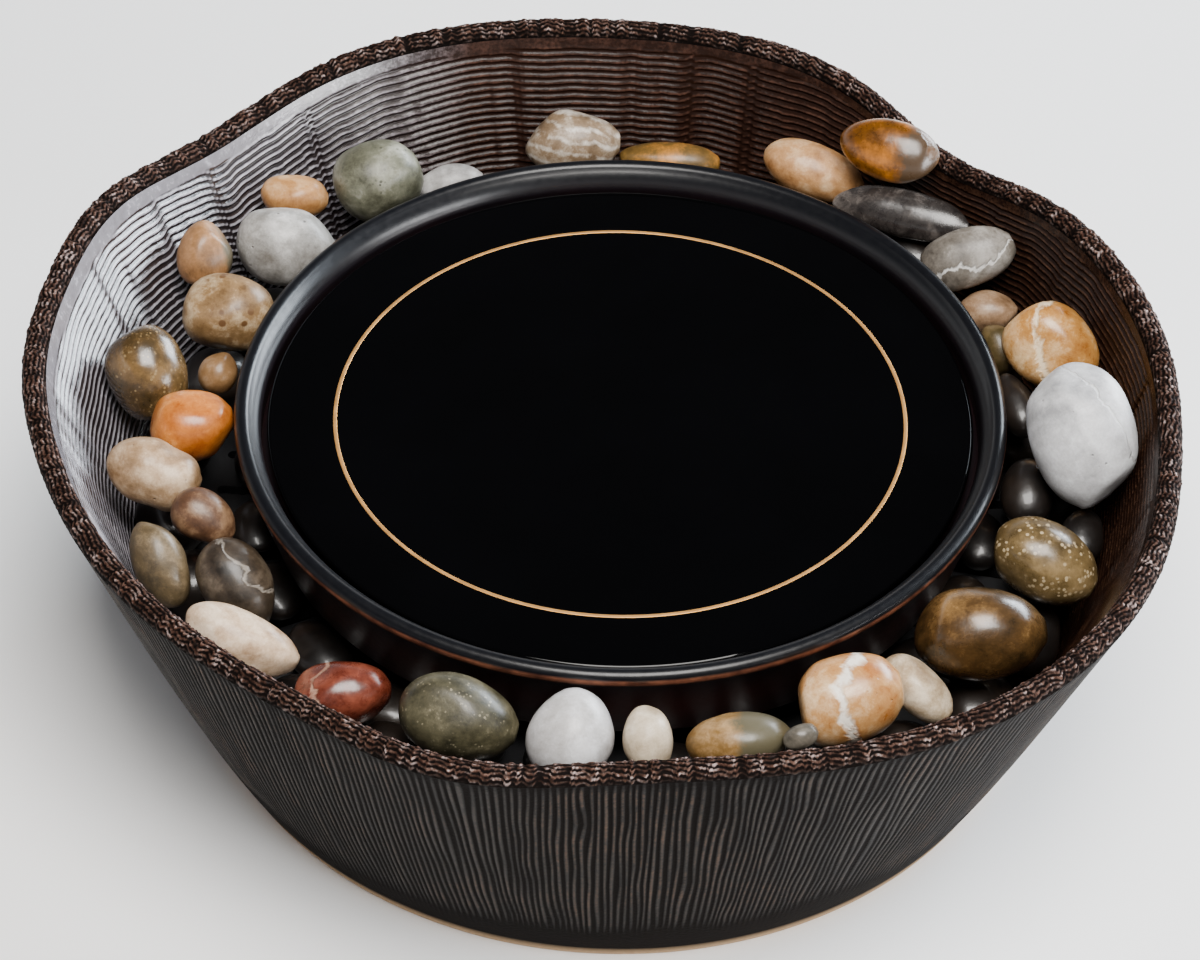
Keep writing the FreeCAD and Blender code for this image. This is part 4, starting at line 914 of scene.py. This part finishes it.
def loose_parts(vertices, triangles):
    """Split a mesh into its separate solids."""
    parent = np.arange(len(vertices))
    keys = {}
    merged = np.zeros(len(vertices), int)
    for i, v in enumerate(np.round(vertices, 6)):
        merged[i] = keys.setdefault(tuple(v), i)
    def root(i):
        while parent[i] != i:
            parent[i] = parent[parent[i]]
            i = parent[i]
        return i
    for a, b, c in merged[triangles]:
        ra, rb, rc = root(a), root(b), root(c)
        parent[rb] = ra
        parent[root(rc)] = ra
    roots = np.array([root(merged[t[0]]) for t in triangles])
    for label in np.unique(roots):
        chosen = triangles[roots == label]
        used, where = np.unique(chosen, return_inverse=True)
        yield vertices[used], where.reshape(-1, 3)


def make_dark_pebbles():
    finish = Finish("pebble_dark")
    tone = finish.noise(34.0, 4.0, 0.6)
    fine = finish.noise(1100.0, 4.0)
    middle = finish.noise(210.0, 4.0)
    finish.set(Base_Color=finish.ramp(tone, (0.3, tint(9, 8, 8)), (0.5, tint(22, 18, 16)), (0.7, tint(40, 32, 26))),
               Roughness=finish.span(middle, 0.3, 0.7, 0.30, 0.44), IOR=1.52, Coat_Weight=0.3,
               Normal=finish.bump(middle, 0.0003, 0.4, finish.bump(fine, 0.00005, 0.5)))
    finish.surface.inputs["Coat Roughness"].default_value = 0.08
    vertices, triangles = node_arrays("dark_pebbles")
    all_points, all_faces, base = [], [], 0
    for number, (v, t) in enumerate(loose_parts(vertices, triangles)):
        spot = (v.max(0) + v.min(0)) / 2
        seen = math.hypot(spot[0], spot[1]) > SEEN_BEYOND
        points, faces = pebble_surface(v, t, 4 if seen else 3, 500 + number, flats=3)
        all_points.append(points)
        all_faces += [tuple(i + base for i in f) for f in faces]
        base += len(points)
    stand_in("dark_stones", np.concatenate(all_points), all_faces, "dark_pebbles", "base",
             finish.material)


# ---------------------------------------------------------------- finishes of the parts that stay as CAD nodes
def winding_finish():
    """Enamelled wire wound round the bridge of the core."""
    finish = Finish("copper_wire")
    along = finish.add("ShaderNodeSeparateXYZ", {0: finish.place}).outputs[1]
    turns = finish.value("SINE", finish.value("MULTIPLY", along, TURN / 0.0006))
    worn = finish.noise(300.0)
    finish.set(Base_Color=finish.blend(worn, tint(140, 62, 30), tint(196, 104, 58)), Metallic=0.9,
               Roughness=finish.span(worn, 0.3, 0.7, 0.22, 0.36), Normal=finish.bump(turns, 0.00025))
    return finish


def lamination_finish():
    """Stacked steel sheets."""
    finish = Finish("lamination_steel")
    up = finish.add("ShaderNodeSeparateXYZ", {0: finish.place}).outputs[2]
    sheets = finish.value("SINE", finish.value("MULTIPLY", up, TURN / 0.0005))
    worn = finish.noise(220.0, 4.0)
    finish.set(Base_Color=finish.blend(worn, tint(96, 98, 104), tint(142, 144, 150)), Metallic=1.0,
               Roughness=finish.span(worn, 0.3, 0.7, 0.35, 0.5), Normal=finish.bump(sheets, 0.00012))
    return finish


def dress_nodes():
    # light and dark tone, roughness, then depth and scale of the grain, metal, IOR and stretch
    looks = {
        "black_plastic": (tint(30, 30, 32), tint(20, 20, 22), 0.48, 0.00006, 1600.0),
        "pump_plastic": (tint(26, 27, 30), tint(18, 19, 22), 0.36, 0.00004, 1400.0),
        "strainer_plastic": (tint(34, 36, 40), tint(24, 26, 30), 0.42, 0.00005, 1500.0),
        "slider_plastic": (tint(46, 76, 128), tint(36, 62, 110), 0.38, 0.00004, 1500.0),
        "black_rubber": (tint(24, 24, 25), tint(16, 16, 17), 0.72, 0.00008, 2200.0),
        "impeller_plastic": (tint(220, 218, 210), tint(204, 202, 192), 0.38),
        "inlet_plastic": (tint(40, 40, 42), tint(28, 28, 30), 0.38, 0.00004, 1500.0),
        "magnet": (tint(66, 66, 70), tint(48, 48, 52), 0.55, 0.00010, 1900.0),
        "ceramic_white": (tint(236, 234, 228), tint(224, 220, 212), 0.22, 0.00001, 1500.0),
        "stainless": (tint(196, 198, 202), tint(168, 170, 176), 0.26, 0.00002, 1500.0, 1.0, 1.5, (1, 8, 8)),
        "silicone_clear": (tint(214, 218, 220), tint(196, 202, 206), 0.34, 0.00003),
    }
    finishes = {name: plain_finish(name, *look) for name, look in looks.items()}
    finishes["copper_wire"] = winding_finish()
    finishes["lamination_steel"] = lamination_finish()
    silicone = finishes["silicone_clear"]
    silicone.set(Subsurface_Weight=0.35, Coat_Weight=0.2)
    silicone.surface.inputs["Subsurface Radius"].default_value = (0.004, 0.004, 0.004)
    for part in frame["record"]["subparts"]:
        slot = part["material_slot"]
        thing = nodes[part["node"]]
        if slot in finishes and not thing.hide_render:
            for i in range(len(thing.material_slots)):
                thing.material_slots[i].material = finishes[slot].material


place_camera()
light_studio()
lay_floor()
make_bowl()
make_dish()
make_plate()
make_pebbles()
make_dark_pebbles()
dress_nodes()
